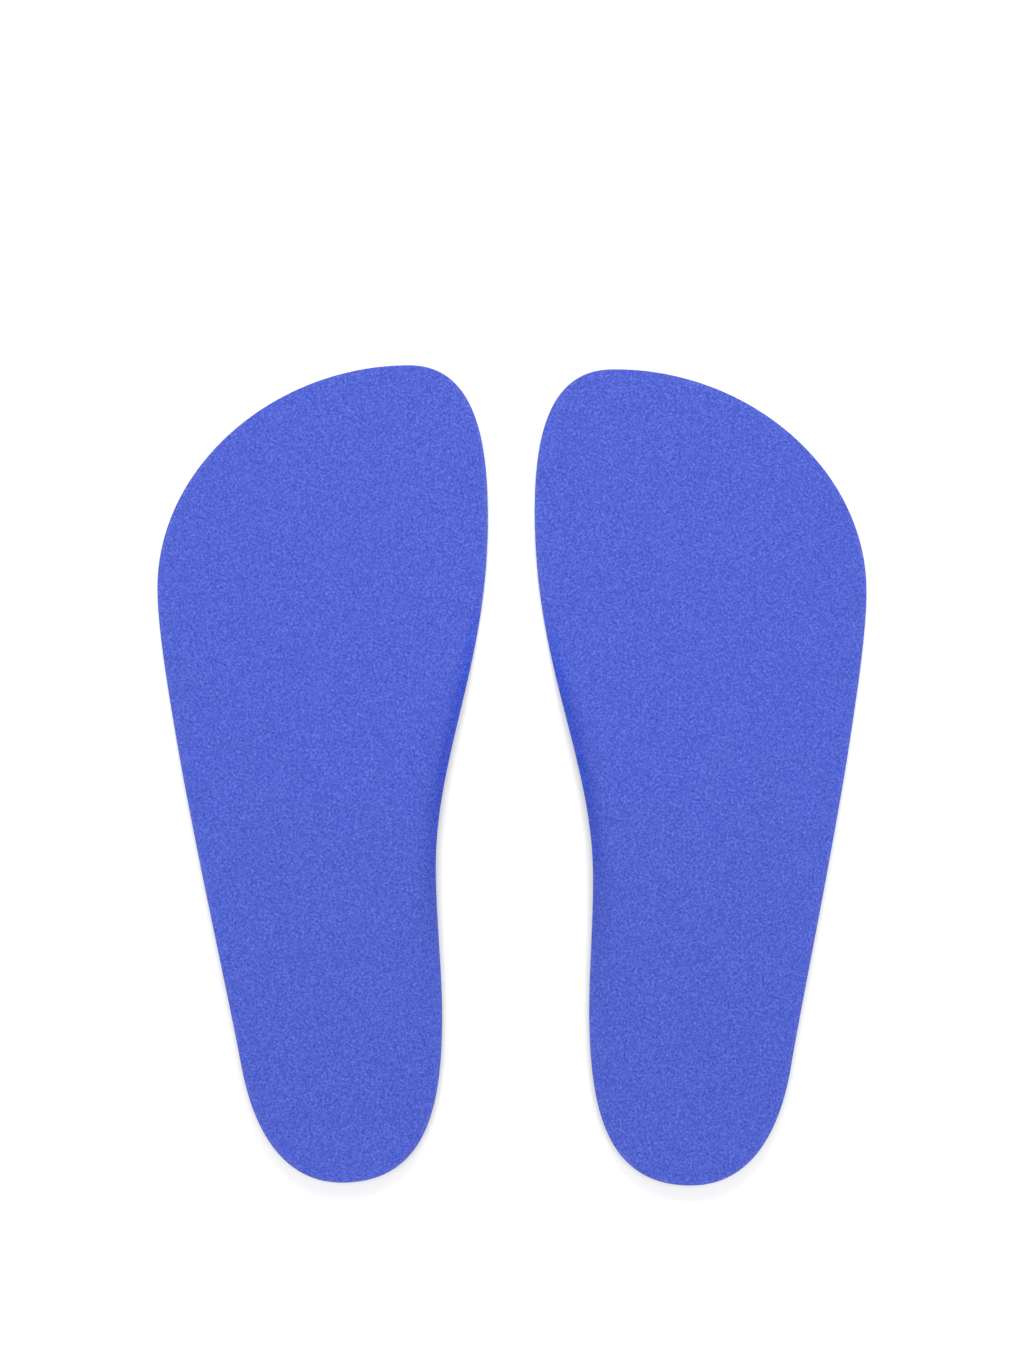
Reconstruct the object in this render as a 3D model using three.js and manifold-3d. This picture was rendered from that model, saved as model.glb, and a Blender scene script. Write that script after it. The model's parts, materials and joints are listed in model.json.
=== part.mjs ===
// A pair of full-length contoured shoe insoles, lying face up with the toes toward +Y.
// Millimetres, +Z up. The origin is on the supporting surface, under the middle of the pair.
//
// Each insole is drawn as a left insole in its own frame: the back of the heel is at y = 0, the
// lateral (little toe) side is at -x and the medial (big toe) side is at +x. The right insole is
// its mirror image.

import * as THREE from "three";
import { mergeVertices } from "three/addons/utils/BufferGeometryUtils.js";
import Module from "manifold-3d";

const wasm = await Module();
wasm.setup();

// ---------------------------------------------------------------- driving dimensions

// Outline: the places where it is furthest out or in, measured from the back of the heel.
const insoleLength = 269;
const heelEndX = 3;
const heelMedial = { x: 36, y: 55 };
const waistMedial = { x: 34, y: 104 };
const ballMedial = { x: 51, y: 218.5 };
const toeTipX = 25;
const ballLateral = { x: -58, y: 195.5 };
const heelLateral = { x: -30, y: 38.5, lean: 10.5 };

// How full each stretch of the outline is at its two ends (0.55 and 0.55 is a quarter ellipse).
const fullness = {
  heelInner: [0.9, 0.48],
  heelToWaist: [0.3, 0.32],
  waistToBall: [0.32, 0.42],
  bigToe: [0.49, 0.86],
  smallToes: [0.53, 0.55],
  outerSide: [0.2, 0.22],
  heelOuter: [0.6, 0.55],
};

// Pair
const gapBetweenInsoles = 15.5;
const rightTurn = 1;
const rightSetBack = 1.8;

// Layers, from the top down. The base shell thins from the heel to its front edge.
const coverThickness = 1;
const foamOverShell = 2.2;
const shellHeelThickness = 3.4;
const shellFrontThickness = 0.7;
const layerGap = 0.3;
const dropStart = 90;
const dropEnd = 170;

// Raised edges of the footbed. What fades towards the toes fades in line with the flex line, and
// is given as a distance from the heel along the middle of the insole.
const heelCupDepth = 3.6;
const heelCupReach = 22;
const heelCupFadeStart = 45;
const heelCupFadeEnd = 115;
const archRise = 7.5;
const archReach = 34;
const archFlangeWidth = 8;
const archFlangeShare = 0.5;
const archStart = 50;
const archFull = 112;
const archFadeStart = 142;
const archFadeEnd = 172;
const outerRise = 2;
const outerReach = 16;
const archHollow = 5;
const archHollowReach = 24;

// Side walls lean in towards the bottom, less so beside the toes.
const wallTop = 16;
const heelDraft = 1.6;
const toeDraft = 0.5;
const foamInset = 0.2;
const shellInset = 0.5;

// Flex line across the ball of the foot
const flexLineY = 179;
const flexLineAngle = 14;
const flexGap = 0.3;

// Base shell and the pieces let into the underside
const shellFrontBehindFlex = 12;
const heelPadMargin = 13;
const heelPadLength = 50;
const shellOverHeelPad = 0.7;
const archSupportBehindPad = 5;
const archSupportFront = 134;
const archSupportWidth = 54;
const archSupportPastEdge = 5;
const archSupportTurn = -8;
const archSupportThickness = 1.2;
const archSupportInset = 1.6;
const forefootPadMargin = 16;
const forefootPadAheadOfFlex = 6;
const forefootPadLength = 38;
const forefootPadThickness = 1.6;

// Fineness of the facets
const rungs = 28;
const columns = 8;
const endCrowding = 0.4;
const edgeSamples = 90;
const padSegments = 36;

// Sizes that follow from the ones above
const stackOverShell = layerGap + foamOverShell + layerGap + coverThickness;
const heelPadThickness = shellHeelThickness - shellOverHeelPad - layerGap;
const beyond = 2 * insoleLength;

// ---------------------------------------------------------------- outline

const point = (x, y) => new THREE.Vector2(x, y);

// One stretch of outline: its ends, the direction it sets off in and arrives in, and its fullness.
function stretch(from, fromDirection, to, toDirection, [fromFullness, toFullness]) {
  const run = to.clone().sub(from);
  const reach = (direction) => {
    const across = Math.abs(direction.x) > Math.abs(direction.y) ? "x" : "y";
    return Math.abs(run[across] / direction[across]);
  };
  const leave = from.clone().addScaledVector(fromDirection, reach(fromDirection) * fromFullness);
  const arrive = to.clone().addScaledVector(toDirection, -reach(toDirection) * toFullness);
  return new THREE.CubicBezierCurve(from, leave, arrive, to);
}

function edgeCurve(stretches) {
  const path = new THREE.CurvePath();
  stretches.forEach((part) => path.add(part));
  return path;
}

function outlineEdges() {
  const heelEnd = point(heelEndX, 0);
  const toeTip = point(toeTipX, insoleLength);
  const heelIn = point(heelMedial.x, heelMedial.y);
  const waist = point(waistMedial.x, waistMedial.y);
  const ballIn = point(ballMedial.x, ballMedial.y);
  const ballOut = point(ballLateral.x, ballLateral.y);
  const heelOut = point(heelLateral.x, heelLateral.y);
  const forward = point(0, 1);
  const inward = point(1, 0);
  const outward = point(-1, 0);
  const lean = THREE.MathUtils.degToRad(heelLateral.lean);
  const leaning = point(-Math.sin(lean), Math.cos(lean));
  const flip = ([first, second]) => [second, first];
  const medial = edgeCurve([
    stretch(heelEnd, inward, heelIn, forward, fullness.heelInner),
    stretch(heelIn, forward, waist, forward, fullness.heelToWaist),
    stretch(waist, forward, ballIn, forward, fullness.waistToBall),
    stretch(ballIn, forward, toeTip, outward, fullness.bigToe),
  ]);
  const lateral = edgeCurve([
    stretch(heelEnd, outward, heelOut, leaning, flip(fullness.heelOuter)),
    stretch(heelOut, leaning, ballOut, forward, flip(fullness.outerSide)),
    stretch(ballOut, forward, toeTip, inward, flip(fullness.smallToes)),
  ]);
  return { medial, lateral };
}

const edges = outlineEdges();
const medialSamples = edges.medial.getSpacedPoints(edgeSamples);
const lateralSamples = edges.lateral.getSpacedPoints(edgeSamples);

// Distance from a place on the footbed to one edge of the outline.
function distanceTo(samples, x, y) {
  let nearest = Infinity;
  for (let i = 1; i < samples.length; i += 1) {
    const a = samples[i - 1];
    const b = samples[i];
    const runX = b.x - a.x;
    const runY = b.y - a.y;
    const along = ((x - a.x) * runX + (y - a.y) * runY) / (runX * runX + runY * runY);
    const share = THREE.MathUtils.clamp(along, 0, 1);
    nearest = Math.min(nearest, Math.hypot(x - a.x - share * runX, y - a.y - share * runY));
  }
  return nearest;
}

// ---------------------------------------------------------------- heights of the footbed

const { smoothstep, lerp } = THREE.MathUtils;

// 1 at an edge, falling in a smooth curve to 0 at the given reach from it.
const bowl = (distance, reach) => Math.max(0, 1 - distance / reach) ** 2;

// Where the line through a place, parallel to the flex line, meets x = 0.
const flexwise = (x, y) => y - x * Math.tan(THREE.MathUtils.degToRad(flexLineAngle));

// 1 where the arch and the outer edge are raised, 0 at the heel end and at the ball.
function archWindow(x, y) {
  const fade = 1 - smoothstep(flexwise(x, y), archFadeStart, archFadeEnd);
  return smoothstep(y, archStart, archFull) * fade;
}

function topHeight(x, y) {
  const toMedial = distanceTo(medialSamples, x, y);
  const toLateral = distanceTo(lateralSamples, x, y);
  const drop = smoothstep(flexwise(x, y), dropStart, dropEnd);
  const level = stackOverShell + lerp(shellHeelThickness, shellFrontThickness, drop);
  const cupFade = 1 - smoothstep(y, heelCupFadeStart, heelCupFadeEnd);
  const cup = heelCupDepth * bowl(Math.min(toMedial, toLateral), heelCupReach) * cupFade;
  const slope = (1 - archFlangeShare) * bowl(toMedial, archReach);
  const flange = archFlangeShare * bowl(toMedial, archFlangeWidth);
  const raised = archRise * (slope + flange) + outerRise * bowl(toLateral, outerReach);
  return level + cup + raised * archWindow(x, y);
}

function undersideHeight(x, y) {
  return archHollow * bowl(distanceTo(medialSamples, x, y), archHollowReach) * archWindow(x, y);
}

const foamTop = (x, y) => topHeight(x, y) - coverThickness - layerGap;
const shellTop = (x, y) => topHeight(x, y) - stackOverShell;

// ---------------------------------------------------------------- solids

// A closed mesh as a solid that can be joined and cut.
function solid(geometry) {
  const bare = geometry.clone();
  bare.deleteAttribute("normal");
  bare.deleteAttribute("uv");
  const merged = mergeVertices(bare, 1e-5);
  const vertProperties = Float32Array.from(merged.getAttribute("position").array);
  const triVerts = Uint32Array.from(merged.getIndex().array);
  return new wasm.Manifold(new wasm.Mesh({ numProp: 3, vertProperties, triVerts }));
}

function geometryOf(body) {
  const mesh = body.getMesh();
  const geometry = new THREE.BufferGeometry();
  geometry.setAttribute("position", new THREE.BufferAttribute(mesh.vertProperties, mesh.numProp));
  geometry.setIndex(new THREE.BufferAttribute(mesh.triVerts, 1));
  geometry.computeVertexNormals();
  return geometry;
}

// The two edges of the outline as rows of places, moved in by an inset that may vary along it.
function insetEdges(inset) {
  const moved = (curve, inwardTurn) => {
    const points = [];
    for (let i = 0; i <= rungs; i += 1) {
      const even = i / rungs;
      const crowded = 0.5 - 0.5 * Math.cos(Math.PI * even);
      const share = lerp(even, crowded, endCrowding);
      const at = curve.getPoint(share);
      const tangent = curve.getTangent(share);
      const inwards = point(-tangent.y * inwardTurn, tangent.x * inwardTurn);
      points.push(at.addScaledVector(inwards, inset(at.y)));
    }
    return points;
  };
  return { medial: moved(edges.medial, 1), lateral: moved(edges.lateral, -1) };
}

// One face of a layer: a grid of places from the lateral to the medial edge, one rung at a time.
// The first and last rungs are the single points at the heel and the toe.
function faceGrid(inset, height) {
  const { medial, lateral } = insetEdges(inset);
  return medial.map((innerPoint, i) => {
    const single = i === 0 || i === rungs;
    return Array.from({ length: single ? 1 : columns + 1 }, (_, j) => {
      const share = 0.5 - 0.5 * Math.cos((Math.PI * j) / columns);
      const at = lateral[i].clone().lerp(innerPoint, single ? 0 : share);
      return new THREE.Vector3(at.x, at.y, height(at.x, at.y));
    });
  });
}

// A closed layer between an upper and a lower face, with a wall round its rim.
function layer(top, bottom) {
  const positions = [];
  const triangles = [];
  const number = (rows) =>
    rows.map((row) =>
      row.map((at) => {
        positions.push(at.x, at.y, at.z);
        return positions.length / 3 - 1;
      }),
    );
  const face = (rows, upward) => {
    const add = (a, b, c) => triangles.push(...(upward ? [a, b, c] : [a, c, b]));
    for (let i = 0; i < rungs; i += 1) {
      const near = rows[i];
      const far = rows[i + 1];
      for (let j = 0; j < columns; j += 1) {
        const nearNext = near[Math.min(j + 1, near.length - 1)];
        const farNext = far[Math.min(j + 1, far.length - 1)];
        const nearHere = near[Math.min(j, near.length - 1)];
        const farHere = far[Math.min(j, far.length - 1)];
        if (nearHere !== nearNext) add(nearHere, nearNext, farNext);
        if (farHere !== farNext) add(nearHere, farNext, farHere);
      }
    }
  };
  const rim = (rows) => [
    ...rows.map((row) => row[row.length - 1]),
    ...rows.slice(1, rungs).reverse().map((row) => row[0]),
  ];
  const upper = number(top);
  const lower = number(bottom);
  face(upper, true);
  face(lower, false);
  const upperRim = rim(upper);
  const lowerRim = rim(lower);
  upperRim.forEach((here, i) => {
    const next = (i + 1) % upperRim.length;
    triangles.push(lowerRim[i], lowerRim[next], upperRim[next]);
    triangles.push(lowerRim[i], upperRim[next], here);
  });
  const geometry = new THREE.BufferGeometry();
  geometry.setAttribute("position", new THREE.Float32BufferAttribute(positions, 3));
  geometry.setIndex(triangles);
  return solid(geometry);
}

// Everything on one side of a line parallel to the flex line, which meets x = 0 at the given y.
function sideOfFlexLine(y, forward) {
  const box = new THREE.BoxGeometry(beyond, beyond, beyond);
  box.translate(0, forward ? beyond / 2 : -beyond / 2, 0);
  box.rotateZ(THREE.MathUtils.degToRad(flexLineAngle));
  box.translate(0, y, 0);
  return solid(box);
}

// The oval outlines of the pieces let into the underside: middle, half sizes and turn in degrees.
function heelPadOval() {
  const halfWidth = (heelMedial.x - heelLateral.x) / 2 - heelPadMargin;
  const middle = point((heelMedial.x + heelLateral.x) / 2, heelPadMargin + heelPadLength / 2);
  return { middle, halfWidth, halfLength: heelPadLength / 2, turn: 0 };
}

function archSupportOval() {
  const rear = heelPadMargin + heelPadLength + archSupportBehindPad;
  const halfWidth = archSupportWidth / 2;
  const middle = point(waistMedial.x + archSupportPastEdge - halfWidth, (rear + archSupportFront) / 2);
  return { middle, halfWidth, halfLength: (archSupportFront - rear) / 2, turn: archSupportTurn };
}

function forefootPadOval() {
  const turn = THREE.MathUtils.degToRad(flexLineAngle);
  const halfLength = forefootPadLength / 2;
  const x = (ballMedial.x + ballLateral.x) / 2;
  const onFlexLine = point(x, flexLineY + x * Math.tan(turn));
  const ahead = point(-Math.sin(turn), Math.cos(turn));
  const middle = onFlexLine.addScaledVector(ahead, forefootPadAheadOfFlex + halfLength);
  const halfWidth = (ballMedial.x - ballLateral.x) / 2 - forefootPadMargin;
  return { middle, halfWidth, halfLength, turn: flexLineAngle };
}

// An upright block with an oval outline, grown all round by the given clearance.
function ovalBlock({ middle, halfWidth, halfLength, turn }, clearance, low, high) {
  const shape = new THREE.Shape();
  const angle = THREE.MathUtils.degToRad(turn);
  const across = halfWidth + clearance;
  const along = halfLength + clearance;
  shape.absellipse(middle.x, middle.y, across, along, 0, 2 * Math.PI, false, angle);
  const options = { depth: high - low, bevelEnabled: false, curveSegments: padSegments };
  const block = new THREE.ExtrudeGeometry(shape, options);
  block.translate(0, 0, low);
  return solid(block);
}

// A sheet as wide as the outline, between two heights. Every sheet has the same grid, so sheets
// that lie on each other keep the same gap all over.
function sheet(over, under) {
  const flush = () => 0;
  return layer(faceGrid(flush, over), faceGrid(flush, under));
}

// The block inside the side walls, moved in by an inset from the outline at their top.
function insideWalls(inset) {
  const draft = (y) => lerp(heelDraft, toeDraft, smoothstep(y, archFadeStart, archFadeEnd));
  const upper = faceGrid(() => inset, () => wallTop);
  const lower = faceGrid((y) => inset + draft(y), () => -layerGap);
  return layer(upper, lower);
}

// ---------------------------------------------------------------- pieces of one insole

function topCover() {
  return sheet(topHeight, (x, y) => topHeight(x, y) - coverThickness);
}

function archSupport() {
  const over = (x, y) => undersideHeight(x, y) + archSupportThickness;
  return sheet(over, undersideHeight)
    .intersect(ovalBlock(archSupportOval(), 0, -beyond, beyond))
    .intersect(insideWalls(archSupportInset));
}

// The room that the arch support takes in the base shell, open at the underside and the edge.
function archSupportRoom() {
  const over = (x, y) => undersideHeight(x, y) + archSupportThickness + layerGap;
  const under = (x, y) => undersideHeight(x, y) - archSupportThickness;
  return sheet(over, under).intersect(ovalBlock(archSupportOval(), layerGap, -beyond, beyond));
}

// A pad that lies on the supporting surface, and the room that it takes in the layer round it.
const pad = (oval, thickness) => ovalBlock(oval, 0, 0, thickness);
const padRoom = (oval, thickness) => ovalBlock(oval, layerGap, -thickness, thickness + layerGap);

function baseShell() {
  return sheet(shellTop, undersideHeight)
    .intersect(insideWalls(shellInset))
    .intersect(sideOfFlexLine(flexLineY - shellFrontBehindFlex, false))
    .subtract(padRoom(heelPadOval(), heelPadThickness))
    .subtract(archSupportRoom());
}

// The room that the base shell takes under the foam.
function baseShellRoom() {
  const over = (x, y) => shellTop(x, y) + layerGap;
  const under = (x, y) => undersideHeight(x, y) - shellHeelThickness;
  const front = flexLineY - shellFrontBehindFlex + layerGap;
  return sheet(over, under).intersect(sideOfFlexLine(front, false));
}

function foamLayer() {
  return sheet(foamTop, undersideHeight)
    .intersect(insideWalls(foamInset))
    .subtract(baseShellRoom())
    .subtract(padRoom(forefootPadOval(), forefootPadThickness));
}

const behindFlex = (body) => body.intersect(sideOfFlexLine(flexLineY - flexGap / 2, false));
const aheadOfFlex = (body) => body.intersect(sideOfFlexLine(flexLineY + flexGap / 2, true));

// ---------------------------------------------------------------- finishes

const finish = (color, roughness) => new THREE.MeshStandardMaterial({ color, roughness, metalness: 0 });

const finishes = {
  cover: () => finish(0x5668d3, 0.95),
  foam: () => finish(0x3c4db0, 0.85),
  shell: () => finish(0x33363d, 0.8),
  support: () => finish(0x1d2440, 0.45),
  pad: () => finish(0x8a9ae6, 0.6),
};

// ---------------------------------------------------------------- assembly

// The mirror image of a geometry across x = 0, with its faces still pointing out.
function mirrored(geometry) {
  const copy = geometry.clone();
  copy.scale(-1, 1, 1);
  const index = copy.getIndex();
  for (let i = 0; i < index.count; i += 3) {
    const second = index.getX(i + 1);
    index.setX(i + 1, index.getX(i + 2));
    index.setX(i + 2, second);
  }
  copy.computeVertexNormals();
  return copy;
}

function insolePieces() {
  const cover = topCover();
  const foam = foamLayer();
  return [
    ["top_cover_rear", behindFlex(cover), finishes.cover],
    ["top_cover_front", aheadOfFlex(cover), finishes.cover],
    ["foam_rear", behindFlex(foam), finishes.foam],
    ["foam_front", aheadOfFlex(foam), finishes.foam],
    ["base_shell", baseShell(), finishes.shell],
    ["arch_support", archSupport(), finishes.support],
    ["heel_pad", pad(heelPadOval(), heelPadThickness), finishes.pad],
    ["forefoot_pad", pad(forefootPadOval(), forefootPadThickness), finishes.pad],
  ].map(([name, body, material]) => ({ name, geometry: geometryOf(body), material }));
}

// One insole, placed and turned about the innermost point of its ball.
function insole(pieces, side, turn, setBack) {
  const left = side === "left";
  const mirror = left ? -1 : 1;
  const pivot = new THREE.Group();
  pivot.position.set((mirror * gapBetweenInsoles) / 2, -setBack, 0);
  pivot.rotation.z = THREE.MathUtils.degToRad(turn);
  pieces.forEach(({ name, geometry, material }) => {
    const mesh = new THREE.Mesh(left ? geometry : mirrored(geometry), material());
    mesh.name = `${side}_${name}`;
    mesh.position.set(mirror * ballMedial.x, -ballMedial.y, 0);
    pivot.add(mesh);
  });
  return pivot;
}

function insolePair() {
  const pieces = insolePieces();
  const pair = new THREE.Group();
  pair.add(insole(pieces, "left", 0, 0));
  pair.add(insole(pieces, "right", rightTurn, rightSetBack));
  const box = new THREE.Box3().setFromObject(pair, true);
  const middle = box.getCenter(new THREE.Vector3());
  pair.position.set(-middle.x, -middle.y, -box.min.z);
  return pair;
}

export default insolePair();
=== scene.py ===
# The finished look of a pair of contoured shoe insoles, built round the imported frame.
#
# Every shape is made as a left insole in its own frame, in metres: the back of the heel is at
# y = 0, the lateral (little toe) side is at -x and the medial (big toe) side is at +x. A copy is
# then put in its place, and the right insole's copy is mirrored on the way.
import json
import math

import bpy
import numpy as np
from bpy.props import FloatProperty, FloatVectorProperty, IntProperty, PointerProperty
from mathutils import Matrix, Vector


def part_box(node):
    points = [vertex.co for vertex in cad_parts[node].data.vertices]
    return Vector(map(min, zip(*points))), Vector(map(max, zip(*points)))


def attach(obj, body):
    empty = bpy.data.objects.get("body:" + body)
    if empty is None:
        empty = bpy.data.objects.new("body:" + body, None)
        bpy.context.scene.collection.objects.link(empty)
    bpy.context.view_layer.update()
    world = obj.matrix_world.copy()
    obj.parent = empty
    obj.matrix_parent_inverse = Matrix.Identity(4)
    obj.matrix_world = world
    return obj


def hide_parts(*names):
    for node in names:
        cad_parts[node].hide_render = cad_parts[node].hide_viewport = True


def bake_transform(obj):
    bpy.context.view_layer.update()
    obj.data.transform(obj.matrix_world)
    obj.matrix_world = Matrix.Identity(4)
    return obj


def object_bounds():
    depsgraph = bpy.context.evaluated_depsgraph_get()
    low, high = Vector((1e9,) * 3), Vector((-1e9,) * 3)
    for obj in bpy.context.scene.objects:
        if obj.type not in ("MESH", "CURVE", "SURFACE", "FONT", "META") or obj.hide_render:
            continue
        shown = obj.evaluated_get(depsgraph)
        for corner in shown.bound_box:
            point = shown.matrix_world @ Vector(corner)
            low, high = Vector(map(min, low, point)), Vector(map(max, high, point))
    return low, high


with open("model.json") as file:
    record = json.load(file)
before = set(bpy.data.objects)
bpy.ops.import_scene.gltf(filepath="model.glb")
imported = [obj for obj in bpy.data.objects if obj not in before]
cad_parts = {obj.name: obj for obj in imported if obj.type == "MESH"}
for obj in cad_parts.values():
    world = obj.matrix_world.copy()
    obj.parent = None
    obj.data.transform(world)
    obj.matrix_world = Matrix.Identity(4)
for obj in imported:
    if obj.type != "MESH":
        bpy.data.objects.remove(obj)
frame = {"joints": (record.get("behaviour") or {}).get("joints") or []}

CAD_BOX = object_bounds()

bl_info = {
    "name": "Contoured Insole Pair",
    "version": (1, 0, 0),
    "blender": (4, 5, 0),
    "location": "3D View > Sidebar > Insoles",
    "description": "Builds a pair of layered shoe insoles with their finishes and a plain stage",
    "category": "Object",
}

MM = 0.001
SIDES = ("left", "right")
JOINTS = {joint["name"]: joint for joint in frame["joints"]}

# How full each stretch of the outline is at its two ends (0.55 and 0.55 is a quarter ellipse).
FULLNESS = {
    "heel_inner": (0.9, 0.48),
    "heel_to_waist": (0.3, 0.32),
    "waist_to_ball": (0.32, 0.42),
    "big_toe": (0.49, 0.86),
    "small_toes": (0.55, 0.53),
    "outer_side": (0.22, 0.2),
    "heel_outer": (0.55, 0.6),
}

# Fineness of the meshes
STRETCH_STEPS = 160
CHAIN_STEP = 6
RUNGS = 290
RUNG_CLEARANCE = 0.4 * MM
COLUMNS = 56
OVAL_STEPS = 120
OVAL_RINGS = 16
ROUND_STEPS = 4
TRIM_HALVINGS = 24
STUD_SIDES = 14
STUD_RINGS = 2
RIB_SIDES = 12
RIB_STEPS = 72
FIBRE_SIDES = 3

# How many places have their distances worked out at once
DISTANCE_BATCH = 4096

# Angles in degrees past which an edge is shaded sharp
LAYER_SHARP = 40
STUD_SHARP = 30
RIB_SHARP = 50

# Where the columns of a row lie across the insole, closer together towards its edges
COLUMN_SHARES = 0.5 - 0.5 * np.cos(np.pi * np.arange(COLUMNS + 1) / COLUMNS)

# The sides of the foam and of the base shell, from the upper face down. The columns are:
# millimetres in from the outline, share of the walls' lean that is added to them, share of the way
# down to the lower face, millimetres up from there, and how rubbed the surface is.
FOAM_SIDE = (
    (0.5, 0.45, 0.0, 0.0, 0.6),
    (0.2, 0.45, 0.0, -0.2, 0.8),
    (0.15, 0.5, 0.25, 0.0, 0.3),
    (0.08, 0.55, 0.5, 0.0, 0.2),
    (0.2, 0.6, 0.75, 0.0, 0.3),
    (0.28, 0.65, 1.0, 0.2, 0.8),
    (0.55, 0.65, 1.0, 0.0, 0.6),
)
SHELL_SIDE = (
    (0.8, 0.65, 0.0, 0.0, 0.6),
    (0.5, 0.66, 0.06, 0.0, 0.9),
    (0.5, 0.75, 0.35, 0.0, 0.2),
    (0.5, 0.85, 0.62, 0.0, 0.2),
    (0.62, 0.92, 0.82, 0.0, 0.5),
    (0.95, 0.97, 0.95, 0.0, 0.9),
    (1.5, 1.0, 1.0, 0.0, 0.4),
)

# How far a rubbed edge spreads over the faces beside it
RUB_SPREAD = 0.8 * MM

# How far a shape that cuts a room reaches out past the face that it cuts
CUT_DEPTH = 2 * MM

# A ray that looks for a surface from below starts this far under its point, and is this long
RAY_START = 50 * MM
RAY_LENGTH = 200 * MM

# Studs stand where the field's mask is above the first, and the hollow lower than the second
FIELD_WHOLE = 0.98
FIELD_LEVEL = 0.05 * MM

# Width of a stud where it meets the ground, as a share of its width above
STUD_TIP = 0.74

# The blots of the cover's grain, and how the nap's colour goes with its shade: the power of its
# value, the loss of saturation in light nap, and its gain in the painted shade along the arch's
# edge
NAP_BLOT = 0.66 * MM
NAP_VALUE_POWER = 0.54
PALING = 0.118
PAINTED_SHADE_DEEPENING = 0.077

# Blender's numbers of sockets that share their names with others on the same node
MIX_FACTOR, MIX_LOW, MIX_HIGH, MIX_COLOUR, MIX_OTHER_COLOUR, MIXED_COLOUR = 0, 2, 3, 6, 7, 2
RANDOM_LOW, RANDOM_HIGH, RANDOM_NUMBER = 2, 3, 1

# What kind of socket a default value makes
SOCKETS = {float: "NodeSocketFloat", int: "NodeSocketInt", tuple: "NodeSocketVector"}


# ---------------------------------------------------------------- sizes and colours


def length(name, description, millimetres):
    """A size property with its default given in millimetres."""
    default = millimetres * MM
    return FloatProperty(name=name, description=description, default=default, unit="LENGTH")


def spot(name, description, x, y):
    """A place on the outline, with its default given in millimetres."""
    return FloatVectorProperty(
        name=name, description=description, default=(x * MM, y * MM), size=2, unit="LENGTH"
    )


def degrees(name, description, angle):
    """An angle property with its default given in degrees."""
    return FloatProperty(
        name=name, description=description, default=math.radians(angle), subtype="ANGLE"
    )


def share(name, description, value):
    """A property between nothing and all."""
    return FloatProperty(name=name, description=description, default=value, subtype="FACTOR")


def colour(name, description, red, green, blue):
    """A colour property, in linear values."""
    return FloatVectorProperty(
        name=name, description=description, default=(red, green, blue), size=3, subtype="COLOR"
    )


def insole_length():
    """The length of the left insole, which isn't turned, in millimetres."""
    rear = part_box("left_top_cover_rear")
    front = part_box("left_top_cover_front")
    return (front[1].y - rear[0].y) / MM


class OutlineSizes(bpy.types.PropertyGroup):
    """The places where an insole's outline is furthest out or in."""

    length: length("Length", "Back of the heel to the toe tip", insole_length())
    heel_end: length("Heel end", "How far the back of the heel lies to the medial side", 3)
    heel_medial: spot("Inner heel", "Widest place of the heel on the medial side", 36, 55)
    waist_medial: spot("Waist", "Narrowest place under the arch", 34, 104)
    ball_medial: spot("Inner ball", "Widest place beside the big toe joint", 51, 218.5)
    toe_tip: length("Toe tip", "How far the tip of the toes lies to the medial side", 25)
    ball_lateral: spot("Outer ball", "Widest place beside the little toe", -58, 195.5)
    heel_lateral: spot("Outer heel", "Where the heel turns into the outer side", -30, 38.5)
    heel_lean: degrees("Heel lean", "Lean of the outer side at the heel", 10.5)


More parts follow.
